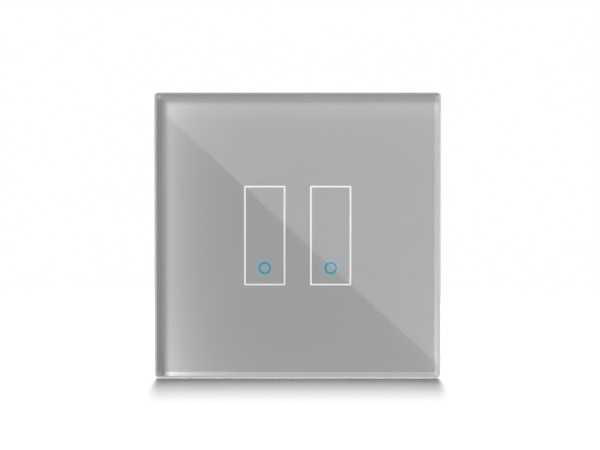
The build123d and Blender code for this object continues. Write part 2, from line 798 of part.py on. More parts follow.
def pin_header():
    """The row of pins on the touch board."""
    back = touch_back + HEADER_BLOCK
    header = header_block(touch_back, back)
    half = PIN_SIDE / 2
    for x in pin_places():
        header += block(x - half, x + half, touch_back, back + PIN_REACH, HEADER_Z - half, HEADER_Z + half)
    return header


def pin_socket():
    """The socket on the power board that takes the pins."""
    front = touch_back + HEADER_BLOCK + HEADER_GAP
    socket = header_block(front, power_front)
    half = PIN_SIDE / 2 + PIN_HOLE_CLEARANCE
    depth = PIN_REACH - HEADER_GAP + PIN_HOLE_CLEARANCE
    for x in pin_places():
        socket -= block(x - half, x + half, front, front + depth, HEADER_Z - half, HEADER_Z + half)
    return socket


# Power board and what is on it


def pole_places():
    """The middles of the terminals, from left to right."""
    return [(index - (POLE_COUNT - 1) / 2) * POLE_PITCH for index in range(POLE_COUNT)]


def power_board():
    """The board for the mains, notched round the ledges and slotted for the terminals' bars."""
    board = board_outline(power_front, power_back)
    for side, z in ledge_places():
        inner = side * (inner_half - LEDGE_DEPTH - BOARD_CLEARANCE)
        half = LEDGE_LENGTH / 2 + BOARD_CLEARANCE
        board -= block(inner, side * inner_half, power_front, power_back, z - half, z + half)
    for x, z in board_screw_places():
        board -= small_hole(x, z, power_front, power_back)
    half = BAR_WIDTH / 2 + BAR_FIT
    for x in pole_places():
        board -= block(x - half, x + half, power_front, power_back, tail_bottom - BAR_FIT, bar_top + BAR_FIT)
    return board


def transformer_core():
    """The ferrite core: a frame with a round post across its window."""
    half = TRANSFORMER_WIDTH / 2
    low = TRANSFORMER_Z - TRANSFORMER_LENGTH / 2
    high = TRANSFORMER_Z + TRANSFORMER_LENGTH / 2
    back = power_back + TRANSFORMER_HEIGHT
    window_front = power_back + CORE_LIMB
    window_back = back - CORE_LIMB
    core = block(-half, half, power_back, back, low, high)
    core -= block(-half + CORE_LIMB, half - CORE_LIMB, window_front, window_back, low, high)
    return core + rod(CORE_POST_RADIUS, window_front, window_back, 0, TRANSFORMER_Z)


def transformer_winding():
    """The winding round the core's post."""
    front = power_back + CORE_LIMB + WINDING_GAP
    back = power_back + TRANSFORMER_HEIGHT - CORE_LIMB - WINDING_GAP
    outside = TRANSFORMER_WIDTH / 2 - CORE_LIMB - WINDING_GAP
    inside = CORE_POST_RADIUS + WINDING_GAP
    return rod(outside, front, back, 0, TRANSFORMER_Z) - rod(inside, front, back, 0, TRANSFORMER_Z)


def filter_capacitor(side):
    """An electrolytic can that stands on the power board."""
    x = side * (FILTER_CAP_RADIUS + FILTER_CAP_GAP / 2)
    z = TRANSFORMER_Z - TRANSFORMER_LENGTH / 2 - FILTER_CAP_TO_TRANSFORMER - FILTER_CAP_RADIUS
    can = rod(FILTER_CAP_RADIUS, power_back, power_back + FILTER_CAP_HEIGHT, x, z)
    return fillet(can.edges().filter_by(GeomType.CIRCLE).sort_by(Axis.Y)[-1], COMPONENT_EDGE)


def film_capacitor():
    """The boxed capacitor across the mains."""
    half = FILM_CAP_LENGTH / 2
    low = upper_row_z - FILM_CAP_WIDTH / 2
    high = upper_row_z + FILM_CAP_WIDTH / 2
    box = block(film_cap_x - half, film_cap_x + half, power_back, power_back + FILM_CAP_HEIGHT, low, high)
    return fillet(box.edges().filter_by(Axis.Y), COMPONENT_EDGE)


def varistor():
    """The disc that takes mains surges, standing on its edge."""
    middle = Pos(varistor_x, power_back + VARISTOR_RADIUS, upper_row_z)
    disc = middle * Cylinder(VARISTOR_RADIUS, VARISTOR_THICKNESS)
    return fillet(disc.edges().filter_by(GeomType.CIRCLE), COMPONENT_EDGE)


def fuse():
    """The round fuse beside the varistor."""
    can = rod(FUSE_RADIUS, power_back, power_back + FUSE_HEIGHT, fuse_x, upper_row_z)
    return fillet(can.edges().filter_by(GeomType.CIRCLE).sort_by(Axis.Y)[-1], COMPONENT_EDGE)


# Relays


def relay_middle(side):
    """The middle of a relay, as far out as the ledges and the housing's round corners allow."""
    by_ledge = inner_half - LEDGE_DEPTH
    corner_z = abs(RELAY_Z) + relay_half
    by_round = sqrt(inner_round**2 - corner_z**2)
    return side * (min(by_ledge, by_round) - RELAY_TO_HOUSING - RELAY_WIDTH / 2)


def relay_block(side, width, y0, y1, z0, z1):
    """A box on a relay's middle plane, with its z counted from the relay's middle."""
    x = relay_middle(side)
    return block(x - width / 2, x + width / 2, y0, y1, RELAY_Z + z0, RELAY_Z + z1)


def relay_rod(side, radius, y0, y1, z):
    """A round bar on a relay's middle plane, with its z counted from the relay's middle."""
    return rod(radius, y0, y1, relay_middle(side), RELAY_Z + z)


def relay_case(side):
    """A relay's moulded case, open towards the board."""
    case = relay_block(side, RELAY_WIDTH, power_back, relay_top, -relay_half, relay_half)
    inside = RELAY_WIDTH - 2 * RELAY_WALL
    return case - relay_block(side, inside, power_back, relay_top - RELAY_WALL, -relay_inside, relay_inside)


def relay_base(side):
    """A relay's base plate, slotted for the fixed contact's leg."""
    width = RELAY_WIDTH - 2 * RELAY_WALL - 2 * RELAY_FIT
    base = relay_block(side, width, power_back, base_back, -leg_end, leg_end)
    slot = leg_end - CONTACT_STRIP - RELAY_FIT
    return base - relay_block(side, ARM_WIDTH + 2 * RELAY_FIT, power_back, base_back, slot, relay_inside)


def relay_yoke(side):
    """The steel yoke: a foot with the coil's core, and an upright whose round end is the hinge."""
    foot_start = coil_z - CORE_RADIUS - YOKE_FOOT_MARGIN
    foot = relay_block(side, YOKE_WIDTH, base_back, foot_back, foot_start, upright_z + YOKE_SHEET)
    upright = relay_block(side, YOKE_WIDTH, base_back, hinge_y, upright_z, upright_z + YOKE_SHEET)
    knife_edge = Pos(relay_middle(side), hinge_y, RELAY_Z + hinge_z) * Rot(0, 90, 0)
    upright += knife_edge * Cylinder(YOKE_SHEET / 2, YOKE_WIDTH)
    core = relay_rod(side, CORE_RADIUS, base_back, pole_face, coil_z)
    return foot + upright + core + relay_rod(side, POLE_RADIUS, pole_face - POLE_HEIGHT, pole_face, coil_z)


def relay_bobbin(side):
    """The nylon bobbin on the core."""
    spool = relay_rod(side, BOBBIN_BARREL_RADIUS, bobbin_front, bobbin_back, coil_z)
    spool += relay_rod(side, COIL_RADIUS, bobbin_front, bobbin_front + BOBBIN_FLANGE, coil_z)
    spool += relay_rod(side, COIL_RADIUS, bobbin_back - BOBBIN_FLANGE, bobbin_back, coil_z)
    return spool - relay_rod(side, CORE_RADIUS + CORE_FIT, bobbin_front, bobbin_back, coil_z)


def relay_winding(side):
    """The copper winding between the bobbin's flanges."""
    front = bobbin_front + BOBBIN_FLANGE + CORE_FIT
    back = bobbin_back - BOBBIN_FLANGE - CORE_FIT
    outside = relay_rod(side, COIL_RADIUS - RELAY_INNER_GAP, front, back, coil_z)
    return outside - relay_rod(side, BOBBIN_BARREL_RADIUS + CORE_FIT, front, back, coil_z)


def relay_armature(side):
    """The armature that the coil pulls in, with the arm and the contact that it swings."""
    start = coil_z - POLE_RADIUS - RELAY_FIT
    end = upright_z + YOKE_SHEET + RELAY_INNER_GAP
    swing = relay_block(side, ARMATURE_WIDTH, armature_front, arm_front, start, end)
    swing += relay_block(side, ARM_WIDTH, arm_front, arm_back, coil_z, contact_z + CONTACT_RADIUS)
    return swing + relay_rod(side, CONTACT_RADIUS, arm_back, arm_back + CONTACT_HEIGHT, contact_z)


def relay_contact(side):
    """The fixed contact on its strip, whose leg stands on the power board."""
    strip = relay_block(side, ARM_WIDTH, strip_front, strip_back, contact_z - CONTACT_RADIUS, leg_end)
    leg = relay_block(side, ARM_WIDTH, power_back, strip_back, leg_end - CONTACT_STRIP, leg_end)
    return strip + leg + relay_rod(side, CONTACT_RADIUS, fixed_contact_front, strip_front, contact_z)


# Terminals


def pole_housing(x):
    """One terminal's plastic body, with the wire's way in below and the screw's well behind."""
    body = block(x - pole_half, x + pole_half, power_back, pole_back, -housing_half, pole_top_z)
    body = chamfer(body.faces().sort_by(Axis.Y)[-1].edges(), POLE_EDGE)
    hollow = cage_half + CAGE_CLEARANCE
    body -= block(x - hollow, x + hollow, cavity_front, cavity_back, cavity_bottom, cavity_top)
    body -= Pos(x, wire_y, (cavity_bottom - housing_half) / 2) * Cylinder(WIRE_BORE_RADIUS, WIRE_BORE_LENGTH)
    body -= rod(CLAMP_SCREW_RADIUS + CLAMP_HEAD_CLEARANCE, cavity_back, well_floor, x, clamp_z)
    body -= rod(CLAMP_HEAD_RADIUS + CLAMP_HEAD_CLEARANCE, well_floor, pole_back, x, clamp_z)
    slot = BAR_WIDTH / 2 + BAR_FIT
    body -= block(x - slot, x + slot, bar_front - BAR_FIT, bar_back + BAR_FIT, cavity_top, bar_top + BAR_FIT)
    return body - block(x - slot, x + slot, power_back, bar_back, tail_bottom - BAR_FIT, bar_top + BAR_FIT)


def pole_cage(x):
    """The rising cage that pulls the wire against the contact bar."""
    cage = block(x - cage_half, x + cage_half, cage_front, cage_back, cage_bottom, cage_top)
    cage -= block(x - cage_inside, x + cage_inside, wire_front, cage_thread, cage_bottom, cage_top)
    return cage - rod(CLAMP_SCREW_RADIUS + CLAMP_SCREW_FIT, cage_thread, cage_back, x, clamp_z)


def pole_bar(x):
    """The tinned bar that the wire is clamped to, with its tail through the power board."""
    half = BAR_WIDTH / 2
    bar = block(x - half, x + half, bar_front, bar_back, cage_bottom, bar_top)
    return bar + block(x - half, x + half, power_front - BAR_TAIL, bar_back, tail_bottom, bar_top)


def pole_screw(x):
    """The terminal screw, which turns in place and draws the cage along."""
    head_back = head_seat + CLAMP_HEAD_HEIGHT
    head = rod(CLAMP_HEAD_RADIUS, head_seat, head_back, x, clamp_z)
    head = fillet(head.edges().filter_by(GeomType.CIRCLE).sort_by(Axis.Y)[-1], CLAMP_HEAD_EDGE)
    shank = rod(CLAMP_SCREW_RADIUS, bar_back + CLAMP_SCREW_FIT, head_seat, x, clamp_z)
    return head + shank - drive_cross(x, clamp_z, head_back - CLAMP_SLOT_DEPTH, head_back)


def shared_parts():
    """The pieces that the switch has once, or as one group, by name."""
    return {
        "glass_panel": glass_panel(),
        "back_print": back_print(),
        "panel_adhesive": panel_adhesive(),
        "panel_carrier": panel_carrier(),
        "mounting_frame": mounting_frame(),
        "panel_clips": group(panel_clip(x, z) for x, z in clip_places()),
        "rear_housing": rear_housing(),
        "housing_screws": housing_screws(),
        "inner_cover": inner_cover(),
        "touch_board": touch_board(),
        "touch_springs": group(touch_spring(side) for side in BOTH),
        "light_pipes": group(light_pipe(side) for side in BOTH),
        "indicator_lamps": group(lamp(side) for side in BOTH),
        "touch_chip": touch_chip(),
        "radio_board": radio_board(),
        "radio_shield": radio_shield(),
        "pin_header": pin_header(),
        "pin_socket": pin_socket(),
        "power_board": power_board(),
        "board_screws": board_screws(),
        "transformer_core": transformer_core(),
        "transformer_winding": transformer_winding(),
        "filter_capacitors": group(filter_capacitor(side) for side in BOTH),
        "film_capacitor": film_capacitor(),
        "varistor": varistor(),
        "fuse": fuse(),
    }


def sided_parts(name, side):
    """The pieces that the switch has on its left and on its right."""
    return {
        f"{name}_zone_outline": zone_outline(side),
        f"{name}_ring_window": ring_window(side),
        f"{name}_relay_case": relay_case(side),
        f"{name}_relay_base": relay_base(side),
        f"{name}_relay_yoke": relay_yoke(side),
        f"{name}_relay_bobbin": relay_bobbin(side),
        f"{name}_relay_winding": relay_winding(side),
        f"{name}_relay_armature": relay_armature(side),
        f"{name}_relay_contact": relay_contact(side),
    }


def terminal_parts(number, x):
    """The pieces of one terminal."""
    return {
        f"terminal_{number}_housing": pole_housing(x),
        f"terminal_{number}_cage": pole_cage(x),
        f"terminal_{number}_bar": pole_bar(x),
        f"terminal_{number}_screw": pole_screw(x),
    }


def all_parts():
    """Every piece of the switch by name."""
    parts = shared_parts()
    for name, side in SIDES.items():
        parts.update(sided_parts(name, side))
    for index, x in enumerate(pole_places()):
        parts.update(terminal_parts(index + 1, x))
    return parts


os.makedirs("parts", exist_ok=True)
for part_name, shape in all_parts().items():
    export_step(shape, f"parts/{part_name}.step")

print("glass from", round(glass_front, 3), "housing to", round(housing_back, 3))
print("frame half", round(frame_half, 3), "housing half", round(housing_half, 3))
print("wire bores at x", pole_places(), "y", round(wire_y, 3), "down to z", round(-housing_half, 3))
print("clamp screws at z", round(clamp_z, 3), "cage travel", round(clamp_travel, 3))
print("relay hinge at x", round(relay_middle(1), 3), "y", round(hinge_y, 3), "z", round(RELAY_Z + hinge_z, 3))
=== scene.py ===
"""Looks of a square glass-fronted wall switch with two touch zones.

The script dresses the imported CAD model. Every node gets a finish, a finely meshed plate
of glass takes the place of the plain one, the small parts that only the looks need are
added, and a plain white studio is set up. Sizes are millimetres until mm() turns them
into Blender's metres. X is to the right, Z is up and the glass faces -Y.
"""

import logging
from collections.abc import Callable
from dataclasses import dataclass, field
from enum import Enum
from math import asin, cos, pi, radians, sin, sqrt
from typing import Any, TypeVar

import bmesh
import bpy
from mathutils import Matrix, Vector


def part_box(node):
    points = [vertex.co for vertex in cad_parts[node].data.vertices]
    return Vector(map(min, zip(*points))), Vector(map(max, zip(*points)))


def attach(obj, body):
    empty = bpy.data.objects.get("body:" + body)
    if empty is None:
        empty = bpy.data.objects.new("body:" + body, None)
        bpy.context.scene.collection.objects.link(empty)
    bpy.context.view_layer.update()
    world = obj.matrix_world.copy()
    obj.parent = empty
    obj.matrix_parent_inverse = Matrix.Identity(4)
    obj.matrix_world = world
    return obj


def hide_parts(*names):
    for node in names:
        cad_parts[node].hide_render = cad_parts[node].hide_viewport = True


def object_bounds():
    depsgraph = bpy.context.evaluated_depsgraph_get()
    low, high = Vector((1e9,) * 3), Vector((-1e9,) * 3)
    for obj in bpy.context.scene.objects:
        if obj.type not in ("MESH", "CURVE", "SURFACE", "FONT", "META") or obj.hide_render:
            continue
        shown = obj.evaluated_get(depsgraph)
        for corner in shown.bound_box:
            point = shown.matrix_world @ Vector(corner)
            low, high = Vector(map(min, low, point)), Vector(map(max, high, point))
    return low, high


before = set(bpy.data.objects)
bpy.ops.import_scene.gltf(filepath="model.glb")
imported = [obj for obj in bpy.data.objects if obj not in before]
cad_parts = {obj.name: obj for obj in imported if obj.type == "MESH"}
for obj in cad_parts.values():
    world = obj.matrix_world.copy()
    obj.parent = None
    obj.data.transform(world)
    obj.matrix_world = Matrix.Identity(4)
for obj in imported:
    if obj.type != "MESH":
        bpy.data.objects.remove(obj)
CAD_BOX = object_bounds()

log = logging.getLogger("touch_switch")

Tree = bpy.types.NodeTree
Socket = bpy.types.NodeSocket
Material = bpy.types.Material
Mesh = bmesh.types.BMesh
Length = TypeVar("Length", float, Vector)
Values = dict[int | str, Any]
Triple = tuple[float, float, float]

# Inputs of Blender's Mix node when it mixes colours, and the output that gives the colour
MIX_A = 6
MIX_B = 7
MIX_RESULT = 2
# Blender's wave texture makes a band every so many units at a scale of 1
WAVE_PERIOD = 2 * pi / 20
# Most of what Blender's noise gives lies between these two values
NOISE_LOW = 0.3
NOISE_HIGH = 0.7
# A line of Blender's own font is so many times as tall as its numerals
FONT_LINE = 1.4
TERMINALS = range(1, 5)


def mm(size: Length) -> Length:
    """Turn millimetres into Blender's metres."""
    return size / 1000


def per_mm(size: float) -> float:
    """Give the texture scale at which a pattern has its size in millimetres."""
    return 1000 / size


def in_mm(box: tuple[Vector, Vector]) -> tuple[Vector, Vector]:
    """Turn the two corners of a box into millimetres."""
    return box[0] * 1000, box[1] * 1000


def linear(colour: str) -> tuple[float, float, float, float]:
    """Turn an sRGB hex colour into the linear one that shaders take.

    Args:
        colour: six hex digits after a hash.

    Returns:
        Red, green, blue and an alpha of 1.
    """
    levels = [int(colour[start:start + 2], 16) / 255 for start in (1, 3, 5)]
    red, green, blue = (v / 12.92 if v <= 0.04045 else ((v + 0.055) / 1.055) ** 2.4 for v in levels)
    return red, green, blue, 1.0


def add_node(tree: Tree, kind: str, inputs: Values | None = None, **settings: Any) -> bpy.types.Node:
    """Add a shader node with its settings, values and links.

    Args:
        tree: the node tree of a material or of the world.
        kind: the node's type without its ShaderNode prefix.
        inputs: for each input, by name or index, a value, or an output or an amount to link.
        settings: the node's own properties.

    Returns:
        The new node.
    """
    node = tree.nodes.new(f"ShaderNode{kind}")
    for key, value in settings.items():
        setattr(node, key, value)
    for key, value in (inputs or {}).items():
        source = value.socket if isinstance(value, Amount) else value
        if isinstance(source, Socket):
            tree.links.new(source, node.inputs[key])
        else:
            node.inputs[key].default_value = source
    return node


@dataclass(frozen=True)
class Amount:
    """A number that a shader works out, written as plain arithmetic."""

    tree: Tree
    socket: Socket

    def step(self, operation: str, *others: "Amount | Socket | float") -> "Amount":
        """Work out the step of that name in Blender, from this amount and what comes after it."""
        values = dict(enumerate((self, *others)))
        return Amount(self.tree, add_node(self.tree, "Math", values, operation=operation).outputs[0])

    def __add__(self, other: "Amount | float") -> "Amount":
        """Add to this amount."""
        return self.step("ADD", other)

    def __sub__(self, other: "Amount | float") -> "Amount":
        """Take away from this amount."""
        return self.step("SUBTRACT", other)

    def __rsub__(self, other: float) -> "Amount":
        """Take this amount away from a number."""
        return self.step("MULTIPLY_ADD", -1.0, other)

    def __mul__(self, other: "Amount | Socket | float") -> "Amount":
        """Multiply this amount."""
        return self.step("MULTIPLY", other)

    def __abs__(self) -> "Amount":
        """Drop the sign."""
        return self.step("ABSOLUTE")

    def rise(self, start: float, end: float) -> "Amount":
        """Rise smoothly from 0 to 1 between two places in millimetres."""
        limits = {"Value": self, "From Min": mm(start), "From Max": mm(end)}
        node = add_node(self.tree, "MapRange", limits, interpolation_type="SMOOTHSTEP")
        return Amount(self.tree, node.outputs["Result"])

    def fade(self, start: float, length: float) -> "Amount":
        """Stay at 1 up to a place, then fall by a factor of e in every so many millimetres."""
        steps = self * -per_mm(length) + start / length
        return steps.step("MINIMUM", 0.0).step("EXPONENT")


def uneven(tree: Tree, middle: float, swing: float, patch: float) -> Socket:
    """Give a roughness that wanders either side of its middle value.

    Args:
        tree: the material's node tree.
        middle: the roughness on average.
        swing: how far it strays either way.
        patch: the size of a patch.

    Returns:
        The roughness output.
    """
    place = add_node(tree, "TexCoord").outputs["Object"]
    cloud = add_node(tree, "TexNoise", {"Vector": place, "Scale": per_mm(patch), "Detail": 2.0})
    reach = {"Value": cloud.outputs["Fac"], "From Min": NOISE_LOW, "From Max": NOISE_HIGH,
             "To Min": middle - swing, "To Max": middle + swing}
    return add_node(tree, "MapRange", reach).outputs["Result"]


def grain(tree: Tree, size: float, depth: float, stretch: Triple = (1, 1, 1)) -> Socket:
    """Give the normal of a fine all-over grain.

    Args:
        tree: the material's node tree.
        size: the grain's width.
        depth: its depth.
        stretch: how much finer it is along X, Y and Z.

    Returns:
        The normal output.
    """
    place = add_node(tree, "TexCoord").outputs["Object"]
    drawn = add_node(tree, "Mapping", {"Vector": place, "Scale": stretch}).outputs[0]
    speckle = add_node(tree, "TexNoise", {"Vector": drawn, "Scale": per_mm(size), "Detail": 2.0})
    bumps = {"Height": speckle.outputs["Fac"], "Distance": mm(depth)}
    return add_node(tree, "Bump", bumps).outputs["Normal"]


def let_lamps_through(tree: Tree, clear: Socket, tint: str) -> Socket:
    """Let lamp light and soft light pass straight through a clear surface.

    Args:
        tree: the material's node tree.
        clear: the shader that the eye sees.
        tint: the colour that the light takes on.

    Returns:
        The shader with both kinds of light let through.
    """
    path = add_node(tree, "LightPath").outputs
    open_way = add_node(tree, "BsdfTransparent", {"Color": linear(tint)}).outputs[0]
    lit = add_node(tree, "MixShader", {0: path["Is Shadow Ray"], 1: clear, 2: open_way}).outputs[0]
    return add_node(tree, "MixShader", {0: path["Is Diffuse Ray"], 1: lit, 2: open_way}).outputs[0]


def blank_material(name: str) -> Material:
    """Make a material with an empty node tree.

    Args:
        name: the material's name.

    Returns:
        The material.
    """
    material = bpy.data.materials.new(name)
    material.use_nodes = True
    material.node_tree.nodes.clear()
    return material


@dataclass(frozen=True)
class Finish:
    """What every finish has: a name, and a surface that becomes a material once."""

    name: str

    def surface(self, tree: Tree) -> Values:
        """Give the values of a solid surface, which each finish works out in its own way."""
        raise NotImplementedError

    def shader(self, tree: Tree) -> Socket:
        """Build the finish's nodes and give the shader output."""
        return add_node(tree, "BsdfPrincipled", self.surface(tree)).outputs["BSDF"]

    def material(self) -> Material:
        """Build the node material, or find the one that is already there.

        Returns:
            The material.
        """
        made = bpy.data.materials.get(self.name)
        if made is None:
            made = blank_material(self.name)
            add_node(made.node_tree, "OutputMaterial", {"Surface": self.shader(made.node_tree)})
        return made


@dataclass(frozen=True)
class TwoTone(Finish):
    """A finish whose colour lies between two tones."""

    pale: str
    deep: str

    def blend(self, tree: Tree, share: Amount | Socket) -> Socket:
        """Give the deep tone at a share of 0, the pale one at 1, and what lies between."""
        tones = {"Factor": share, MIX_A: linear(self.deep), MIX_B: linear(self.pale)}
        return add_node(tree, "Mix", tones, data_type="RGBA").outputs[MIX_RESULT]

    def tone(self, tree: Tree, patch: float) -> Socket:
        """Let the colour wander between the two tones, in patches of so many millimetres."""
        place = add_node(tree, "TexCoord").outputs["Object"]
        cloud = add_node(tree, "TexNoise", {"Vector": place, "Scale": per_mm(patch), "Detail": 3.0})
        return self.blend(tree, cloud.outputs["Fac"])


@dataclass(frozen=True)
class Grained(TwoTone):
    """A solid finish: tones in patches, an uneven dullness and a fine grain, sized in millimetres."""

    roughness: float
    grain_size: float
    grain_depth: float
    # How much finer the grain is along X, Y and Z
    stretch: Triple = (1.0, 1.0, 1.0)
    # Size of the patches of tone
    patch: float = 9.0
    # How far the roughness strays, and in patches of what size
    swing: float = 0.05
    swing_patch: float = 4.0
    metallic: float = 0.0
    ior: float = 1.5

    def surface(self, tree: Tree) -> Values:
        """Give the tones, the uneven dullness and the grain."""
        return {
            "Base Color": self.tone(tree, self.patch),
            "Metallic": self.metallic,
            "Roughness": uneven(tree, self.roughness, self.swing, self.swing_patch),
            "IOR": self.ior,
            "Normal": grain(tree, self.grain_size, self.grain_depth, self.stretch),
        }


@dataclass(frozen=True)
class MouldedPlastic(Grained):
    """Plastic from a spark-eroded mould: an even tone with faint flow marks under a fine dull grain."""

    grain_size: float = 0.5
    grain_depth: float = 0.012
    ior: float = 1.53


@dataclass(frozen=True)
class PlatedSteel(Grained):
    """Rolled or drawn steel under bright zinc or nickel: streaks along the rolling, cloudy patches."""

    grain_size: float = 0.35
    grain_depth: float = 0.004
    stretch: Triple = (0.06, 1.0, 1.0)
    patch: float = 5.0
    swing: float = 0.07
    swing_patch: float = 2.5
    metallic: float = 1.0


@dataclass(frozen=True)
class SolderMask(TwoTone):
    """Green solder mask over copper tracks on glass fibre: satin, with the tracks raised and paler."""

    track_pitch: float = 2.54
    track_width: float = 0.45
    mask_depth: float = 0.035
    # The tracks are the joints of a brick wall, whose bricks are three pitches long and one high
    brick_length: float = 1.5
    brick_height: float = 0.5
    brick_shift: float = 0.37

    def surface(self, tree: Tree) -> Values:
        """Give the tracks as a broken grid on the board's own plane.

        Args:
            tree: the material's node tree.

        Returns:
            The values of the surface.
        """
        place = add_node(tree, "TexCoord").outputs["Object"]
        flat = add_node(tree, "Mapping", {"Vector": place, "Rotation": (radians(90), 0, 0)}).outputs[0]
        bricks = {"Vector": flat, "Scale": per_mm(self.track_pitch * 2), "Brick Width": self.brick_length,
                  "Row Height": self.brick_height, "Mortar Size": self.track_width / self.track_pitch / 4,
                  "Mortar Smooth": 0.2}
        tracks = add_node(tree, "TexBrick", bricks, offset=self.brick_shift).outputs["Fac"]
        bumps = {"Height": tracks, "Distance": mm(self.mask_depth)}
        return {
            "Base Color": self.blend(tree, tracks),
            "Roughness": uneven(tree, 0.32, swing=0.06, patch=3.0),
            "IOR": 1.5,
            "Normal": add_node(tree, "Bump", bumps).outputs["Normal"],
        }


@dataclass(frozen=True)
class WoundWire(TwoTone):
    """Enamelled copper wire wound in layers: round bands side by side under a glassy varnish."""

    # Real wire is 0.05 to 0.2 mm thick; the bands are drawn coarser so that they show
    wire: float = 0.4

    def surface(self, tree: Tree) -> Values:
        """Give the bands of wire across the coil's axis, which lies along Y.

        Args:
            tree: the material's node tree.

        Returns:
            The values of the surface.
        """
        place = add_node(tree, "TexCoord").outputs["Object"]
        bands = {"Vector": place, "Scale": WAVE_PERIOD * per_mm(self.wire), "Distortion": 0.6,
                 "Detail": 1.0, "Detail Scale": 0.4}
        turns = add_node(tree, "TexWave", bands, bands_direction="Y").outputs["Fac"]
        bumps = {"Height": turns, "Distance": mm(self.wire / 4)}
        return {
            "Base Color": self.blend(tree, turns),
            "Metallic": 0.75,
            "Roughness": 0.3,
            "Normal": add_node(tree, "Bump", bumps).outputs["Normal"],
        }


@dataclass(frozen=True)
class SinteredFerrite(Grained):
    """Pressed and sintered ferrite: near-black, with stony pits and a dull metallic glint."""

    roughness: float = 0.55
    grain_size: float = 0.25
    grain_depth: float = 0.02
    patch: float = 1.2
    swing: float = 0.08
    swing_patch: float = 1.5
    metallic: float = 0.25


@dataclass(frozen=True)
class SleevedCan(TwoTone):
    """An aluminium can in a shrunk dark vinyl sleeve: one pale stripe, and a bare metal end."""

    can: str
    # What faces +Z or +Y by more than this is the stripe or the bare end
    stripe_facing: float = 0.86
    end_facing: float = 0.8

    def facing(self, tree: Tree, axis: str, limit: float) -> Amount:
        """Give 1 where the surface faces along an axis by more than a limit."""
        parts = add_node(tree, "SeparateXYZ", {"Vector": add_node(tree, "NewGeometry").outputs["Normal"]})
        return Amount(tree, parts.outputs[axis]).step("GREATER_THAN", limit)

    def surface(self, tree: Tree) -> Values:
        """Give the sleeve with its stripe."""
        return {
            "Base Color": self.blend(tree, self.facing(tree, "Z", self.stripe_facing)),
            "Roughness": uneven(tree, 0.34, swing=0.05, patch=3.0),
            "IOR": 1.54,
            "Normal": grain(tree, size=1.5, depth=0.02),
        }

    def shader(self, tree: Tree) -> Socket:
        """Build the sleeve, and the bare metal of the end that it leaves open.

        Args:
            tree: the material's node tree.

        Returns:
            The shader output.
        """
        metal = {"Base Color": linear(self.can), "Metallic": 1.0, "Roughness": 0.35,
                 "Normal": grain(tree, size=0.3, depth=0.004)}
        bare = add_node(tree, "BsdfPrincipled", metal).outputs["BSDF"]
        parts = {0: self.facing(tree, "Y", self.end_facing), 1: super().shader(tree), 2: bare}
        return add_node(tree, "MixShader", parts).outputs[0]


@dataclass(frozen=True)
class DippedCoat(Grained):
    """Epoxy that a part was dipped in: glossy, with slow lumps."""

    roughness: float = 0.22
    grain_size: float = 2.2
    grain_depth: float = 0.08
    patch: float = 3.0
    swing: float = 0.04
    swing_patch: float = 2.0
    ior: float = 1.55


@dataclass(frozen=True)
class ClearMoulding(Finish):
    """Clear acrylic from a polished mould: see-through, with a faint ripple."""

    tint: str
    roughness: float = 0.06

    def surface(self, tree: Tree) -> Values:
        """Give the clear body and its ripple."""
        return {
            "Base Color": linear(self.tint),
            "Transmission Weight": 1.0,
            "Roughness": self.roughness,
            "IOR": 1.49,
            "Normal": grain(tree, size=1.8, depth=0.01),
        }

    def shader(self, tree: Tree) -> Socket:
        """Build the clear body and let lamp light through it."""
        return let_lamps_through(tree, super().shader(tree), self.tint)


@dataclass(frozen=True)
class FloatGlass(Finish):
    """Low-iron float glass, polished: a clear depth in front of the print and a sharp reflection."""

    tint: str

    def surface(self, tree: Tree) -> Values:
        """Give the clear, quite smooth glass."""
        return {"Base Color": linear(self.tint), "Transmission Weight": 1.0, "Roughness": 0.0, "IOR": 1.52}

    def shader(self, tree: Tree) -> Socket:
        """Build the clear glass and let lamp light through to the print."""
        return let_lamps_through(tree, super().shader(tree), self.tint)


@dataclass(frozen=True)
class GroundGlass(TwoTone):
    """The edge of the glass, ground and half polished: a grey band, light or dark with the side, from the
    lamps and from the painted reflections of the narrow cards.
    """

    def surface(self, tree: Tree) -> Values:
        """Give the satin band."""
        return {
            "Base Color": self.tone(tree, patch=6.0),
            "Roughness": uneven(tree, 0.16, swing=0.03, patch=2.0),
            "IOR": 1.52,
            # Both the outside and the inside of the edge return light
            "Specular IOR Level": 1.0,
        }

    def shader(self, tree: Tree) -> Socket:
        """Build the satin band, and let light through it as ground glass does."""
        return let_lamps_through(tree, super().shader(tree), "#FFFFFF")


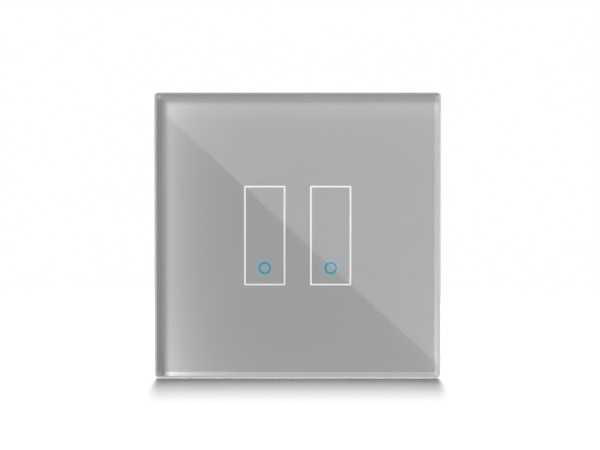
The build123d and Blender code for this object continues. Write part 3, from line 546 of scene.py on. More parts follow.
@dataclass(frozen=True)
class BackLacquer(TwoTone):
    """Silver-grey lacquer screen-printed on the glass: a flat grey, with a painted glow of the rings' light
    round each ring, as a teal tint and an emission.
    """

    # The painted ring light: the colour that the grey is painted under it, and how much of it shows beside
    # the line
    tinted: str
    tint_share: float
    glow: str
    glow_strength: float
    # Places of the two rings, and how fast the painted light fades beside their line
    ring_x: float
    ring_z: float
    ring_radius: float
    fade: float = 0.5

    def surface(self, tree: Tree) -> Values:
        """Give the even print and the painted light beside both rings, as a teal tint of its colour and an
        emission.

        Args:
            tree: the material's node tree.

        Returns:
            The values of the surface.
        """
        place = add_node(tree, "TexCoord").outputs["Object"]
        parts = add_node(tree, "SeparateXYZ", {"Vector": place}).outputs
        across = abs(Amount(tree, parts["X"])) - mm(self.ring_x)
        along = Amount(tree, parts["Z"]) - mm(self.ring_z)
        offset = add_node(tree, "CombineXYZ", {"X": across, "Z": along}).outputs[0]
        reach = Amount(tree, add_node(tree, "VectorMath", {0: offset}, operation="LENGTH").outputs["Value"])
        painted_ring_light_mask = abs(reach - mm(self.ring_radius)).fade(0.0, self.fade)
        # The rings' light is painted here: near each ring's line the grey is turned teal and made to glow
        tones = {"Factor": painted_ring_light_mask * self.tint_share, MIX_A: self.tone(tree, patch=14.0),
                 MIX_B: linear(self.tinted)}
        return {
            "Base Color": add_node(tree, "Mix", tones, data_type="RGBA").outputs[MIX_RESULT],
            "Roughness": 0.6,
            # The lacquer touches the glass, so hardly any light turns back between them
            "Specular IOR Level": 0.05,
            "Emission Color": linear(self.glow),
            "Emission Strength": painted_ring_light_mask * self.glow_strength,
        }


@dataclass(frozen=True)
class ScreenInk(TwoTone):
    """Opaque ink screen-printed on the glass, or ink with a painted glow for a window lit from behind: a
    crisp line with a faintly woven body.
    """

    # A painted glow: the colour and strength of the light that the ink gives off itself
    glow: str = "#000000"
    glow_strength: float = 0.0
    # A 120-thread screen leaves a mark every 0.08 mm; it is drawn at 0.3 mm so that it shows up close
    mesh: float = 0.3

    def surface(self, tree: Tree) -> Values:
        """Give the ink with its faint marks of the screen."""
        return {
            "Base Color": self.tone(tree, patch=0.8),
            "Roughness": 0.5,
            "Specular IOR Level": 0.05,
            "Emission Color": linear(self.glow),
            "Emission Strength": self.glow_strength,
            "Normal": grain(tree, self.mesh, depth=0.003),
        }


class Slot(Enum):
    """The record's material slots; the numerals are given one, which nothing reads."""

    GLASS = "glass"
    TERMINAL = "terminal_plastic"
    BLACK = "black_plastic"
    TIN = "shield_tin"


class Side(Enum):
    """The two sides of the switch, each with a touch zone and a relay."""

    LEFT = "left"
    RIGHT = "right"


# Places of the touch zones' middles and of the rings on the glass
ZONE_X = 9.925
RING_Z = -9.8
RING_RADIUS = 1.6

# Finishes of the front panel
CLEAR_GLASS = FloatGlass("float_glass_polished", "#FEFEFE")
EDGE_GLASS = GroundGlass("float_glass_ground_edge", "#848484", "#808080")
GREY_LACQUER = BackLacquer("silver_grey_lacquer_printed", "#9D9D9D", "#9A9A9A", tinted="#1E9D9D",
                           tint_share=0.9, glow="#12A6F8", glow_strength=0.4,
                           ring_x=ZONE_X, ring_z=RING_Z, ring_radius=RING_RADIUS)
WHITE_INK = ScreenInk("white_ink_printed", "#FEFEFE", "#FAFAFA")
# The ring windows' light from the lamps behind is a faint painted glow of this ink
BLUE_INK = ScreenInk("blue_ink_with_painted_glow", "#0F7A92", "#0D768E", "#10A6FF", 0.01)
# Acrylic foam is soft and closed-celled, so it looks like dull white rubber
FOAM_TAPE = MouldedPlastic("acrylic_foam_tape", "#DAD9D4", "#CFCEC8", 0.75, 0.3, 0.03)
GREY_ABS = MouldedPlastic("ABS_light_grey_moulded", "#CFCFCD", "#C8C8C6", 0.48)

# Finishes of the frame and the housing
ZINC_SHEET = PlatedSteel("steel_sheet_zinc_plated", "#C9CBCD", "#B2B5B8", 0.33)
SPRING_STEEL = PlatedSteel("spring_steel_bright", "#BDBCBA", "#A5A4A2", 0.24, 0.2, stretch=(1.0, 1.0, 0.1))
ZINC_SCREW = PlatedSteel("steel_screw_zinc_plated", "#C6C5BF", "#A9A8A3", 0.28, 0.18, stretch=(1.0, 1.0, 1.0))
WHITE_PC = MouldedPlastic("polycarbonate_white_moulded", "#DCDCD8", "#D4D4CF", 0.42)
WHITE_COVER = MouldedPlastic("polycarbonate_cover_moulded", "#EAEAE7", "#E3E3DF", 0.4)
# Metal is deposited on the film of the label, so it shines like a dull sheet of it
FOIL_LABEL = PlatedSteel("polyester_foil_label", "#C4C6C8", "#B9BBBD", 0.45, 0.25, 0.002, (1.0, 1.0, 0.2))
DARK_INK = MouldedPlastic("dark_grey_label_ink", "#3A3B3D", "#333436", 0.5, 0.2, 0.002)

# Finishes of the electronic parts
GREEN_BOARD = SolderMask("glass_fibre_green_solder_mask", "#1F7142", "#14532F")
TIN_SHEET = PlatedSteel("steel_sheet_tinned", "#D2D2CF", "#BEBEBB", 0.3)
SOLDER = PlatedSteel("tin_solder_flowed", "#C8C8C8", "#B5B5B6", 0.22, 0.8, stretch=(1.0, 1.0, 1.0))
BLACK_EPOXY = MouldedPlastic("epoxy_black_moulded", "#262628", "#1E1E20", 0.55, 0.25)
BLACK_NYLON = MouldedPlastic("nylon_black_moulded", "#1F1F20", "#19191A", 0.42)
CERAMIC_CHIP = MouldedPlastic("ceramic_chip_tan", "#B59A78", "#A58B6A", 0.5, 0.2)
WHITE_LAMP = MouldedPlastic("lamp_body_white", "#EDEBD8", "#E2DFC8", 0.35, 0.2)
CLEAR_ACRYLIC = ClearMoulding("acrylic_clear_moulded", "#F2F7F9")
FERRITE = SinteredFerrite("ferrite_sintered", "#3A3A3D", "#2B2B2E")
COPPER_WIRE = WoundWire("copper_wire_enamelled", "#C9713A", "#6E3315")
CAN_SLEEVE = SleevedCan("aluminium_can_vinyl_sleeve", "#B8BCC6", "#1E2440", can="#C8CACC")
YELLOW_BOX = MouldedPlastic("polyester_box_yellow", "#D8B23C", "#CDA632", 0.35, 0.3, 0.006)
BLUE_DIP = DippedCoat("epoxy_blue_dipped", "#24508F", "#1D4480")
BLUE_PBT = MouldedPlastic("PBT_blue_moulded", "#24508C", "#1F477E", 0.28, 0.6, 0.006)
BLACK_PBT = MouldedPlastic("PBT_black_moulded", "#242527", "#1C1D1F", 0.45)
SOFT_IRON = PlatedSteel("soft_iron_nickel_plated", "#ADACA6", "#96958F", 0.3)
NYLON = MouldedPlastic("nylon_natural_moulded", "#E2DBC8", "#D8D0BB", 0.4)
SILVER_CONTACT = PlatedSteel("copper_strip_silver_contact", "#D4B37C", "#B9905A", 0.26)

# Finishes of the terminals
GREY_NYLON = MouldedPlastic("nylon_dark_grey_moulded", "#55575A", "#4C4E51", 0.45)
PALE_NYLON = MouldedPlastic("nylon_pale_marking", "#D9D9D6", "#CFCFCB", 0.45)
CAGE_STEEL = PlatedSteel("steel_cage_zinc_plated", "#BEBEB8", "#A3A39D", 0.3)
TINNED_BRASS = PlatedSteel("brass_bar_tinned", "#D0CAB4", "#B8B19A", 0.27)


def dress(prefix: str = "", **finishes: Finish) -> None:
    """Put finishes on CAD nodes.

    Args:
        prefix: what the nodes' names begin with.
        finishes: for each node, by the rest of its name, its finish.
    """
    for part, finish in finishes.items():
        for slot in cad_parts[prefix + part].material_slots:
            slot.material = finish.material()


def new_thing(name: str, mesh: Mesh, materials: list[Material]) -> bpy.types.Object:
    """Turn a mesh under construction into a thing in the scene.

    Args:
        name: the thing's name.
        mesh: its faces, which are freed here.
        materials: one for each material index.

    Returns:
        The thing.
    """
    data = bpy.data.meshes.new(name)
    mesh.to_mesh(data)
    mesh.free()
    for material in materials:
        data.materials.append(material)
    thing = bpy.data.objects.new(name, data)
    bpy.context.scene.collection.objects.link(thing)
    return thing


def new_piece(name: str, mesh: Mesh, finishes: list[Finish], body: str) -> bpy.types.Object:
    """Turn a mesh under construction into a piece that rides on a body.

    Args:
        name: the piece's name.
        mesh: its faces, which are freed here.
        finishes: one finish for each material index.
        body: the CAD body that it moves with.

    Returns:
        The piece.
    """
    piece = new_thing(name, mesh, [finish.material() for finish in finishes])
    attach(piece, body)
    log.info("%s rides on %s with %d faces", name, body, len(piece.data.polygons))
    return piece


def add_block(mesh: Mesh, low: Vector, high: Vector, edge: float, material: int = 0) -> None:
    """Add a block with broken edges to a mesh.

    Args:
        mesh: the mesh under construction.
        low: the block's lowest corner.
        high: its highest corner.
        edge: how wide its edges are broken.
        material: the index of its finish.
    """
    place = Matrix.Translation(mm(low + high) / 2) @ Matrix.Diagonal((*mm(high - low), 1))
    corners = bmesh.ops.create_cube(mesh, matrix=place)["verts"]
    edges = list({side for corner in corners for side in corner.link_edges})
    bevel = bmesh.ops.bevel(mesh, geom=edges, offset=mm(edge), segments=2, profile=0.5, affect="EDGES")
    # The bevel keeps the block's own faces too, so all faces of its corners are gathered again
    for corner in bevel["verts"]:
        for face in corner.link_faces:
            face.material_index = material


@dataclass
class Numeral:
    """A plain numeral that is read from the back of the switch."""

    name: str
    text: str
    # The middle of its back face, from which it stands up by its depth
    place: Vector
    height: float
    depth: float
    finish: Finish
    slot: Slot

    def build(self) -> None:
        """Build the numeral from Blender's own font."""
        curve = bpy.data.curves.new(self.name, "FONT")
        curve.body = self.text
        curve.align_x = "CENTER"
        curve.align_y = "CENTER"
        curve.size = mm(self.height * FONT_LINE)
        curve.extrude = mm(self.depth / 2)
        curve.resolution_u = 4
        shape = bpy.data.objects.new(self.name + "_curve", curve)
        mesh = bmesh.new()
        mesh.from_mesh(bpy.data.meshes.new_from_object(shape))
        bpy.data.objects.remove(shape)
        turned = Matrix.Rotation(pi, 4, "Z") @ Matrix.Rotation(pi / 2, 4, "X")
        mesh.transform(Matrix.Translation(mm(self.place) + Vector((0, mm(self.depth / 2), 0))) @ turned)
        new_piece(self.name, mesh, [self.finish], "wall_unit")


def rounded_square(half: float, radius: float, steps: int) -> list[tuple[float, float]]:
    """Give the outline of a square with round corners, once round.

    Args:
        half: half the side.
        radius: the corner radius.
        steps: the number of steps round each corner.

    Returns:
        The points, in the units that went in.
    """
    points = []
    for quarter in range(4):
        middle = pi / 4 + quarter * pi / 2
        centre_x = (half - radius) * (1 if cos(middle) > 0 else -1)
        centre_z = (half - radius) * (1 if sin(middle) > 0 else -1)
        for step in range(steps + 1):
            angle = (quarter + step / steps) * pi / 2
            points.append((centre_x + radius * cos(angle), centre_z + radius * sin(angle)))
    return points


@dataclass
class GlassPlate:
    """The square plate of glass, meshed finely so that its edges bend reflections cleanly."""

    roll_width: float = 5.0
    roll_drop: float = 0.3
    # The flat middle of the front starts this far inside the roll
    flat_margin: float = 1.0
    # Radius of the rounded edge between front and side, and width of the broken edge at the back
    arris: float = 1.2
    back_edge: float = 0.2
    # Radii of the plate's corners, at its side and further in
    outer_corner: float = 1.2
    inner_corner: float = 0.5
    # The edge is ground over this much of the front
    ground_width: float = 2.05
    # The back reaches into the print by this much, so that the two are in optical contact
    bond: float = 0.01
    roll_steps: int = 19
    arris_steps: int = 10
    corner_steps: int = 10

    def __post_init__(self) -> None:
        """Read the plate's half side, front and back from the CAD."""
        low, high = in_mm(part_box("glass_panel"))
        self.half = high.x
        self.front = low.y
        self.back = high.y

    @property
    def roll_radius(self) -> float:
        """Give the radius on which the front rolls off towards its edges."""
        return (self.roll_width**2 + self.roll_drop**2) / (2 * self.roll_drop)

    def profile(self) -> list[tuple[float, float, bool]]:
        """Walk down the edge of the plate.

        Returns:
            For each ring its inset from the side, its place along Y, and whether it is ground.
        """
        flat = self.half - self.roll_width
        radius = self.roll_radius
        centre_y = self.front + radius
        arris_x = self.half - self.arris
        arris_y = centre_y - sqrt((radius - self.arris) ** 2 - (arris_x - flat) ** 2)
        turn = asin((arris_x - flat) / (radius - self.arris))
        rings = []
        for step in range(self.roll_steps + 1):
            angle = turn * step / self.roll_steps
            inset = self.roll_width - radius * sin(angle)
            rings.append((inset, centre_y - radius * cos(angle), inset < self.ground_width))
        for step in range(1, self.arris_steps + 1):
            angle = turn + (pi / 2 - turn) * step / self.arris_steps
            rings.append((self.arris - self.arris * sin(angle), arris_y - self.arris * cos(angle), True))
        rings.append((0.0, self.back - self.back_edge, True))
        rings.append((self.back_edge, self.back, True))
        return rings

    def build(self) -> None:
        """Build the plate as rings of points, from the flat front round the edge to the back."""
        mesh = bmesh.new()
        rings = [(self.roll_width + self.flat_margin, self.front, False), *self.profile()]
        rings.append((self.roll_width, self.back - self.bond, False))
        loops = []
        for inset, depth, _ in rings:
            corner = max(self.outer_corner - inset, self.inner_corner) if inset else self.outer_corner
            outline = rounded_square(self.half - inset, corner, self.corner_steps)
            loops.append([mesh.verts.new((mm(x), mm(depth), mm(z))) for x, z in outline])
        count = len(loops[0])
        for inner, outer, (_, _, ground) in zip(loops, loops[1:], rings[1:]):
            for spot in range(count):
                after = (spot + 1) % count
                face = mesh.faces.new((inner[spot], outer[spot], outer[after], inner[after]))
                face.material_index = 1 if ground else 0
                face.smooth = True
        mesh.faces.new(list(reversed(loops[0])))
        mesh.faces.new(loops[-1])
        bmesh.ops.recalc_face_normals(mesh, faces=mesh.faces)
        for edge in mesh.edges:
            if all(abs(end.co.y - mm(self.back)) < mm(self.bond / 2) for end in edge.verts):
                edge.smooth = False
        plate = new_piece("glass_plate", mesh, [CLEAR_GLASS, EDGE_GLASS], "front_panel")
        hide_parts("glass_panel")


@dataclass
class FrontPanel:
    """Everything that comes off with the glass."""

    plate: GlassPlate

    def build(self) -> None:
        """Build the glass and dress what is behind it."""
        self.plate.build()
        dress(back_print=GREY_LACQUER, panel_adhesive=FOAM_TAPE, panel_carrier=GREY_ABS)
        for side in Side:
            dress(f"{side.value}_", zone_outline=WHITE_INK, ring_window=BLUE_INK)


@dataclass
class WallUnit:
    """The steel frame with its clips, and the housing behind it."""

    label_margin: float = 0.3
    label_thickness: float = 0.12
    label_width: float = 26.0
    label_height: float = 8.5
    label_z: float = 16.0
    label_recess: float = 0.3
    numeral_height: float = 2.6
    numeral_depth: float = 0.02
    # The label is narrower than the row of terminals, so its numerals stand closer by this share
    numeral_spread: float = 0.8

    def build(self) -> None:
        """Dress the frame and the housing and stick the foil label in its recess."""
        dress(mounting_frame=ZINC_SHEET, panel_clips=SPRING_STEEL, rear_housing=WHITE_PC,
              housing_screws=ZINC_SCREW, inner_cover=WHITE_COVER)
        self.build_label()

    def build_label(self) -> None:
        """Build the foil label, bare but for the numbers of the four terminals."""
        floor = in_mm(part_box("rear_housing"))[1].y - self.label_recess
        half_width = self.label_width / 2 - self.label_margin
        half_height = self.label_height / 2 - self.label_margin
        low = Vector((-half_width, floor, self.label_z - half_height))
        high = Vector((half_width, floor + self.label_thickness, self.label_z + half_height))
        mesh = bmesh.new()
        add_block(mesh, low, high, self.label_thickness / 3)
        new_piece("foil_label", mesh, [FOIL_LABEL], "wall_unit")
        for number in TERMINALS:
            left, right = in_mm(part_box(f"terminal_{number}_housing"))
            place = Vector(((left.x + right.x) / 2 * self.numeral_spread, high.y, self.label_z))
            Numeral(f"label_numeral_{number}", str(number), place, self.numeral_height,
                    self.numeral_depth, DARK_INK, Slot.BLACK).build()


@dataclass
class ChipColumns:
    """Two columns of small parts on a board, each a ceramic or black body between two tinned ends."""

    board: str
    # How far each column stands from the middle
    shift: float
    first_z: float
    pitch: float
    count: int
    length: float = 1.6
    width: float = 0.8
    height: float = 0.45
    end: float = 0.3
    # The body is lower than its ends by this much, and all edges are broken by as much
    body_drop: float = 0.04
    # One part in so many is black
    black_every: int = 3

    def build(self) -> None:
        """Build both columns."""
        for index, x in enumerate((-self.shift, self.shift), start=1):
            self.build_column(f"{self.board}_chips_{index}", x)

    def build_column(self, name: str, x: float) -> None:
        """Build one column on the board's front face.

        Args:
            name: the piece's name.
            x: where its middle stands.
        """
        front = in_mm(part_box(self.board))[0].y
        finishes = [CERAMIC_CHIP, BLACK_EPOXY, SOLDER]
        ceramic, black, tinned = range(len(finishes))
        half, inner = self.length / 2, self.length / 2 - self.end
        mesh = bmesh.new()
        for index in range(self.count):
            z = self.first_z + index * self.pitch
            body = ceramic if index % self.black_every else black
            spans = ((-half, -inner, tinned, 0.0), (-inner, inner, body, self.body_drop),
                     (inner, half, tinned, 0.0))
            for start, stop, material, drop in spans:
                low = Vector((x + start, front - self.height + drop, z - self.width / 2 + drop))
                high = Vector((x + stop, front, z + self.width / 2 - drop))
                add_block(mesh, low, high, self.body_drop, material)
        new_piece(name, mesh, finishes, "wall_unit")


@dataclass
class TouchBoard:
    """The board behind the glass, with what senses the finger, lights the rings and talks by radio."""

    lead_pitch: float = 0.8
    lead_width: float = 0.35
    lead_reach: float = 0.9
    lead_sheet: float = 0.15
    lead_edge: float = 0.02
    leads: int = 7

    def build(self) -> None:
        """Dress the board's parts and add the chip's leads and the small parts."""
        dress(touch_board=GREEN_BOARD, touch_springs=SPRING_STEEL, light_pipes=CLEAR_ACRYLIC,
              indicator_lamps=WHITE_LAMP, touch_chip=BLACK_EPOXY, radio_board=GREEN_BOARD,
              radio_shield=TIN_SHEET, pin_header=BLACK_NYLON, pin_socket=BLACK_NYLON)
        self.build_leads()
        ChipColumns("touch_board", shift=2.2, first_z=-12.0, pitch=2.8, count=9).build()

    def build_leads(self) -> None:
        """Build the bent leads on the chip's upper and lower sides."""
        low, high = in_mm(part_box("touch_chip"))
        board = low.y
        middle = (low.x + high.x) / 2
        shoulder = (low.y + high.y) / 2
        mesh = bmesh.new()
        for index in range(self.leads):
            x = middle + (index - (self.leads - 1) / 2) * self.lead_pitch
            left, right = x - self.lead_width / 2, x + self.lead_width / 2
            for side, edge in ((-1, low.z), (1, high.z)):
                reach = edge + side * self.lead_reach
                bend = edge + side * self.lead_reach / 2
                runs = (
                    (shoulder - self.lead_sheet, shoulder, edge, bend),
                    (board, shoulder, bend - side * self.lead_sheet, bend),
                    (board, board + self.lead_sheet, bend, reach),
                )
                for y0, y1, z0, z1 in runs:
                    add_block(mesh, Vector((left, y0, min(z0, z1))), Vector((right, y1, max(z0, z1))),
                              self.lead_edge)
        new_piece("touch_chip_leads", mesh, [SOLDER], "wall_unit")


@dataclass
class PowerBoard:
    """The board at the back, with the supply that feeds both boards."""

    joint_radius: float = 1.1
    joint_height: float = 0.8
    # The joint's tip is this share of its foot
    joint_tip: float = 0.35
    joint_sides: int = 20
    # Each relay has four pins, this far either side of its middle and this far inside its ends
    pin_shift: float = 2.5
    pin_inset: float = 2.0

    def build(self) -> None:
        """Dress the board's parts and add the solder joints and the small parts."""
        dress(power_board=GREEN_BOARD, board_screws=ZINC_SCREW, transformer_core=FERRITE,
              transformer_winding=COPPER_WIRE, filter_capacitors=CAN_SLEEVE, film_capacitor=YELLOW_BOX,
              varistor=BLUE_DIP, fuse=BLACK_EPOXY)
        self.build_joints()
        ChipColumns("power_board", shift=3.2, first_z=1.5, pitch=2.6, count=6).build()

    def joint_spots(self) -> list[tuple[float, float]]:
        """Find the places of the joints under the terminals and the relays.

        Returns:
            For each joint its X and Z.
        """
        spots = []
        for number in TERMINALS:
            low, high = in_mm(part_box(f"terminal_{number}_bar"))
            spots.append(((low.x + high.x) / 2, high.z - self.joint_radius))
        for side in Side:
            low, high = in_mm(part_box(f"{side.value}_relay_base"))
            for shift in (-self.pin_shift, self.pin_shift):
                x = (low.x + high.x) / 2 + shift
                spots += [(x, low.z + self.pin_inset), (x, high.z - self.pin_inset)]
        return spots

    def build_joints(self) -> None:
        """Build a cone of solder on the board's front under each pin."""
        front = in_mm(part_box("power_board"))[0].y
        upright = Matrix.Rotation(pi / 2, 4, "X")
        mesh = bmesh.new()
        for x, z in self.joint_spots():
            place = Matrix.Translation(mm(Vector((x, front - self.joint_height / 2, z)))) @ upright
            bmesh.ops.create_cone(
                mesh, cap_ends=True, segments=self.joint_sides, radius1=mm(self.joint_radius),
                radius2=mm(self.joint_radius * self.joint_tip), depth=mm(self.joint_height), matrix=place)
        for face in mesh.faces:
            face.smooth = len(face.verts) == 4
        new_piece("solder_joints", mesh, [SOLDER], "wall_unit")


@dataclass
class Relay:
    """One relay: a blue case over a coil, a yoke, an armature and its contacts."""

    side: Side

    def build(self) -> None:
        """Dress the relay's pieces."""
        dress(f"{self.side.value}_relay_", case=BLUE_PBT, base=BLACK_PBT, yoke=SOFT_IRON, bobbin=NYLON,
              winding=COPPER_WIRE, armature=SOFT_IRON, contact=SILVER_CONTACT)


@dataclass
class Terminal:
    """One terminal: a plastic block with a rising cage, a bar and a clamp screw."""

    number: int
    numeral_height: float = 1.7
    numeral_depth: float = 0.2
    numeral_below_top: float = 1.7

    def build(self) -> None:
        """Dress the terminal's pieces and raise its number above the screw."""
        name = f"terminal_{self.number}"
        dress(f"{name}_", housing=GREY_NYLON, cage=CAGE_STEEL, bar=TINNED_BRASS, screw=ZINC_SCREW)
        low, high = in_mm(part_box(f"{name}_housing"))
        place = Vector(((low.x + high.x) / 2, high.y, high.z - self.numeral_below_top))
        Numeral(f"{name}_numeral", str(self.number), place, self.numeral_height, self.numeral_depth,
                PALE_NYLON, Slot.TERMINAL).build()


@dataclass
class Lamp:
    """A soft box that shows in no reflection."""

    name: str
    place: Triple
    width: float
    height: float
    power: float

    def build(self, aim: Vector) -> None:
        """Build the lamp and turn it towards a point.

        Args:
            aim: the point in metres.
        """
        light = bpy.data.lights.new(self.name, "AREA")
        light.shape = "RECTANGLE"
        light.size = mm(self.width)
        light.size_y = mm(self.height)
        light.energy = self.power
        lamp = bpy.data.objects.new(self.name, light)
        lamp.location = mm(Vector(self.place))
        lamp.rotation_euler = (aim - lamp.location).to_track_quat("-Z", "Y").to_euler()
        lamp.visible_camera = False
        lamp.visible_glossy = False
        bpy.context.scene.collection.objects.link(lamp)


@dataclass
class LongLens:
    """The camera at the photograph's place, a little above the middle of the glass."""

    # The photograph's frame in pixels, and the width and the middle of the glass in it
    frame_width: float = 600
    frame_height: float = 450
    glass_width: float = 286.6
    glass_middle: tuple[float, float] = (297.7, 236.0)
    lens: float = 180.0
    sensor: float = 36.0
    elevation: float = 2.5

    def build(self, aim: Vector, side: float) -> None:
        """Set up the camera so far off that the glass is as wide in its frame as in the photograph.

        Args:
            aim: the middle of the glass in metres.
            side: the width of the glass.
        """
        camera = bpy.data.cameras.new("camera")
        camera.lens = self.lens
        camera.sensor_width = self.sensor
        camera.shift_x = (self.frame_width / 2 - self.glass_middle[0]) / self.frame_width
        camera.shift_y = (self.glass_middle[1] - self.frame_height / 2) / self.frame_width
        field_width = side * self.frame_width / self.glass_width
        distance = mm(field_width * self.lens / self.sensor)
        tilt = radians(self.elevation)
        eye = bpy.data.objects.new("camera", camera)
        eye.location = aim + Vector((0, -cos(tilt), sin(tilt))) * distance
        eye.rotation_euler = (pi / 2 - tilt, 0, 0)
        bpy.context.scene.collection.objects.link(eye)
        bpy.context.scene.camera = eye


@dataclass
class PaperFloor:
    """White paper: real near the switch, where it holds the shadow, and plain white further off."""

    half: float = 1500.0
    near: float = 250.0
    far: float = 450.0
    # What share of the light the paper returns to the switch, and how bright the eye sees it
    share: float = 0.72
    seen: float = 1.0

    def build(self) -> None:
        """Build the floor that the switch stands on."""
        mesh = bmesh.new()
        bmesh.ops.create_grid(mesh, x_segments=1, y_segments=1, size=mm(self.half))
        material = blank_material("studio_floor_white_paper")
        self.draw(material.node_tree)
        floor = new_thing("studio_floor", mesh, [material])
        floor.location = (0, 0, CAD_BOX[0][2])

    def draw(self, tree: Tree) -> None:
        """Draw the paper, with white in its place further off, in gloss and through glass.

        Args:
            tree: the floor's node tree.
        """
        place = add_node(tree, "TexCoord").outputs["Object"]
        reach = add_node(tree, "VectorMath", {0: place}, operation="LENGTH").outputs["Value"]
        path = add_node(tree, "LightPath").outputs
        white_share = Amount(tree, reach).rise(self.near, self.far) * path["Is Camera Ray"]
        for ray in ("Is Glossy Ray", "Is Transmission Ray"):
            white_share = white_share.step("MAXIMUM", path[ray])
        gain = {"Value": path["Is Camera Ray"], "To Min": self.share, "To Max": self.seen}
        shade = add_node(tree, "MapRange", gain).outputs["Result"]
        paper = add_node(tree, "BsdfDiffuse", {"Color": shade}).outputs[0]
        white = add_node(tree, "Emission", {"Strength": 1.0}).outputs[0]
        surface = add_node(tree, "MixShader", {0: white_share, 1: paper, 2: white}).outputs[0]
        add_node(tree, "OutputMaterial", {"Surface": surface})


@dataclass(frozen=True)
class Glow:
    """Painted light on the front card, which the glass mirrors as a painted glow: even up to an inset from an
    edge, fading further in.
    """

    level: float
    start: float
    length: float

    def at(self, inset: Amount) -> Amount:
        """Give the glow at an inset from its edge."""
        return inset.fade(self.start, self.length) * self.level


@dataclass(frozen=True)
class Border:
    """A band of painted light along an edge of the front card, which the ground edge of the glass mirrors as
    a painted reflection.
    """

    level: float
    inner: float
    outer: float

    def at(self, inset: Amount) -> Amount:
        """Give the band's light at an inset from its edge."""
        return inset.rise(self.inner, self.outer) * self.level


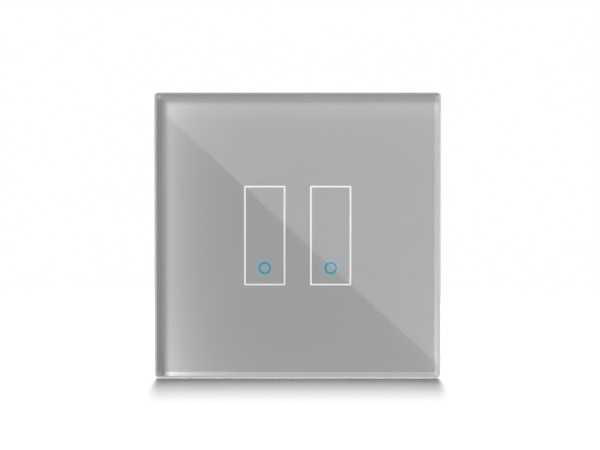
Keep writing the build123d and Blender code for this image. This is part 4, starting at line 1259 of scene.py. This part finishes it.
@dataclass
class MirrorCards:
    """White cards of painted reflection that only mirror rays see: one close before the glass, and narrow
    ones round it.

    Clear glass mirrors about a twenty-third of a card's level, and the ground edge about a twelfth. The cards
    light nothing else, so their drawings are a sheen and edge bands painted on the glass.
    """

    plate: GlassPlate
    # The front card's distance from the glass, and how far it reaches from the middle
    gap: float = 1.0
    reach: float = 43.5
    # A card shines only on what is so near to it, so nothing behind a pulled panel mirrors it
    front_range: float = 2.3
    rim_range: float = 7.0
    range_fade: float = 0.6
    # A low even painted reflection, and a painted sheen beyond a slanting line with a soft edge
    base_level: float = 1.0
    sheen_level: float = 1.65
    sheen_slope: float = 0.92
    sheen_blur: float = 0.5
    # All but the borders begins between these insets from the left and the top
    from_left: tuple[float, float] = (2.3, 4.8)
    from_top: tuple[float, float] = (1.3, 4.3)
    left_glow: Glow = Glow(2.9, start=5.1, length=6.0)
    top_glow: Glow = Glow(1.45, start=4.4, length=3.2)
    bottom_glow: Glow = Glow(1.9, start=3.0, length=17.0)
    # Painted glows of the two left corners: across from the left, and down from the top or up from the foot
    corner_across: Glow = Glow(1.0, start=5.1, length=13.0)
    upper_corner: Glow = Glow(1.0, start=4.4, length=13.0)
    lower_corner: Glow = Glow(2.0, start=3.0, length=13.0)
    left_border: Border = Border(1.0, inner=2.3, outer=1.9)
    right_border: Border = Border(1.3, inner=2.3, outer=1.5)
    top_border: Border = Border(1.7, inner=2.3, outer=1.9)
    bottom_border: Border = Border(1.0, inner=2.6, outer=2.0)
    # The narrow cards stand this far outside the edges, and reach this far before and behind the front
    rim_gap: float = 3.0
    rim_before: float = 3.0
    rim_behind: float = 4.0
    # Levels of the painted reflections that the narrow cards give the ground edge
    left_level: float = 3.6
    right_level: float = 3.8
    top_level: float = 1.7
    foot_level: float = 4.2
    # The foot's card lies this far above the floor
    foot_lift: float = 0.05

    def build(self) -> None:
        """Build the card before the glass and the narrow ones at its left, right, top and foot."""
        floor = CAD_BOX[0][2] * 1000
        front, reach = self.plate.front, self.reach
        face = front - self.gap
        places = ((-reach, floor), (reach, floor), (reach, reach), (-reach, reach))
        self.add_card("front", [Vector((x, face, z)) for x, z in places], self.draw, self.front_range)
        out, lift = self.plate.half + self.rim_gap, floor + self.foot_lift
        near, far = front - self.rim_before, front + self.rim_behind
        for name, level, first, last in (
            ("left", self.left_level, (-out, floor), (-out, out)),
            ("right", self.right_level, (out, floor), (out, out)),
            ("top", self.top_level, (-out, out), (out, out)),
            ("foot", self.foot_level, (-out, lift), (out, lift)),
        ):
            ends = ((first, near), (last, near), (last, far), (first, far))
            self.add_card(name, [Vector((x, y, z)) for (x, z), y in ends], level, self.rim_range)

    def add_card(self, name: str, corners: list[Vector], level: Callable[[Tree], Amount] | float,
                 reach: float) -> None:
        """Add a card that only mirror rays see, and that is clear to all but what is near it.

        Args:
            name: the last word of its name.
            corners: its four corners.
            level: how bright it is, or what draws that in its node tree.
            reach: how near a thing must be.
        """
        material = blank_material(f"painted_reflection_card_{name}")
        tree = material.node_tree
        limits = {"Value": add_node(tree, "LightPath").outputs["Ray Length"],
                  "From Min": mm(reach - self.range_fade), "From Max": mm(reach + self.range_fade)}
        off = add_node(tree, "MapRange", limits).outputs["Result"]
        # The card's light is a painted reflection, which only the glass or edge next to it mirrors
        glow = add_node(tree, "Emission", {"Strength": level(tree) if callable(level) else level}).outputs[0]
        clear = add_node(tree, "BsdfTransparent").outputs[0]
        both = add_node(tree, "MixShader", {0: off, 1: glow, 2: clear}).outputs[0]
        add_node(tree, "OutputMaterial", {"Surface": both})
        mesh = bmesh.new()
        mesh.faces.new([mesh.verts.new(mm(corner)) for corner in corners])
        card = new_thing(f"painted_reflection_card_{name}", mesh, [material])
        card.visible_camera = False
        card.visible_diffuse = False
        card.visible_transmission = False
        card.visible_volume_scatter = False
        card.visible_shadow = False

    def on_glass(self, place: Amount) -> Amount:
        """Turn a place on the front card into the place on the glass that mirrors it.

        Where the glass rolls off it mirrors more of the card, so the drawing is stretched there.

        Args:
            place: the place along X or Z in metres.

        Returns:
            The place on the glass in metres.
        """
        flat = mm(self.plate.half - self.plate.roll_width)
        stretch = 1 + 2 * self.gap / self.plate.roll_radius
        limits = {"Value": place, "Min": -flat, "Max": flat}
        kept = Amount(place.tree, add_node(place.tree, "Clamp", limits).outputs[0])
        return (place - kept) * (1 / stretch) + kept

    def draw(self, tree: Tree) -> Amount:
        """Draw the front card's painted reflection: a sheen beyond a slanting line, glows that fade inwards,
        and borders.

        Args:
            tree: the card's node tree.

        Returns:
            How bright the card is at each place.
        """
        place = add_node(tree, "TexCoord").outputs["Object"]
        parts = add_node(tree, "SeparateXYZ", {"Vector": place}).outputs
        x, z = (self.on_glass(Amount(tree, parts[axis])) for axis in ("X", "Z"))
        half = mm(self.plate.half)
        left, right, top, bottom = x + half, half - x, half - z, z + half
        sheen = (x * self.sheen_slope + z).rise(-self.sheen_blur, self.sheen_blur) * self.sheen_level
        glows = self.left_glow.at(left) + self.top_glow.at(top) + self.bottom_glow.at(bottom)
        corners = self.corner_across.at(left) * (self.upper_corner.at(top) + self.lower_corner.at(bottom))
        inside = left.rise(*self.from_left) * top.rise(*self.from_top)
        level = (sheen + glows + corners + self.base_level) * inside
        for border, inset in ((self.left_border, left), (self.right_border, right),
                              (self.top_border, top), (self.bottom_border, bottom)):
            level = level + border.at(inset)
        return level


@dataclass
class Studio:
    """The plain white studio, with the camera at the photograph's place."""

    plate: GlassPlate
    # Soft light from all round, less from the left than from the right
    soft_left: float = 0.08
    soft_right: float = 0.16
    lamps: list[Lamp] = field(default_factory=lambda: [
        Lamp("back_strip_box", (0.0, 1567.0, 2558.0), 240.0, 3300.0, 147.0),
        Lamp("front_soft_box", (600.0, -800.0, 0.0), 600.0, 80.0, 5.7),
    ])

    def build(self) -> None:
        """Build the studio in the order camera, world, floor, cards and lamps."""
        low, high = in_mm(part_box("glass_panel"))
        aim = mm(Vector((0, low.y, 0)))
        LongLens().build(aim, high.x - low.x)
        self.build_world()
        PaperFloor().build()
        MirrorCards(self.plate).build()
        for lamp in self.lamps:
            lamp.build(aim)
        bpy.context.scene.view_settings.view_transform = "Standard"

    def build_world(self) -> None:
        """Build the white background, which gloss and glass show too, and the soft light."""
        world = bpy.data.worlds.new("white_studio")
        bpy.context.scene.world = world
        world.use_nodes = True
        tree = world.node_tree
        tree.nodes.clear()
        path = add_node(tree, "LightPath").outputs
        seen = Amount(tree, path["Is Camera Ray"])
        for ray in ("Is Glossy Ray", "Is Transmission Ray"):
            seen = seen.step("MAXIMUM", path[ray])
        toward = add_node(tree, "TexCoord").outputs["Generated"]
        across = add_node(tree, "SeparateXYZ", {"Vector": toward}).outputs["X"]
        sides = {"Value": across, "From Min": -1.0, "From Max": 1.0,
                 "To Min": self.soft_left, "To Max": self.soft_right}
        level = add_node(tree, "MapRange", sides).outputs["Result"]
        soft, white = (add_node(tree, "Background", {"Color": linear("#FFFFFF"), "Strength": strength})
                       for strength in (level, 1.0))
        both = add_node(tree, "MixShader", {0: seen, 1: soft.outputs[0], 2: white.outputs[0]}).outputs[0]
        add_node(tree, "OutputWorld", {"Surface": both})


def main() -> None:
    """Build the studio and the switch, one sub-assembly after another."""
    logging.basicConfig(level=logging.INFO, format="%(name)s: %(message)s")
    plate = GlassPlate()
    steps = [Studio(plate), FrontPanel(plate), WallUnit(), TouchBoard(), PowerBoard()]
    steps += [Relay(side) for side in Side]
    steps += [Terminal(number) for number in TERMINALS]
    for step in steps:
        step.build()
        log.info("%s is done", type(step).__name__)


if __name__ == "__main__":
    main()
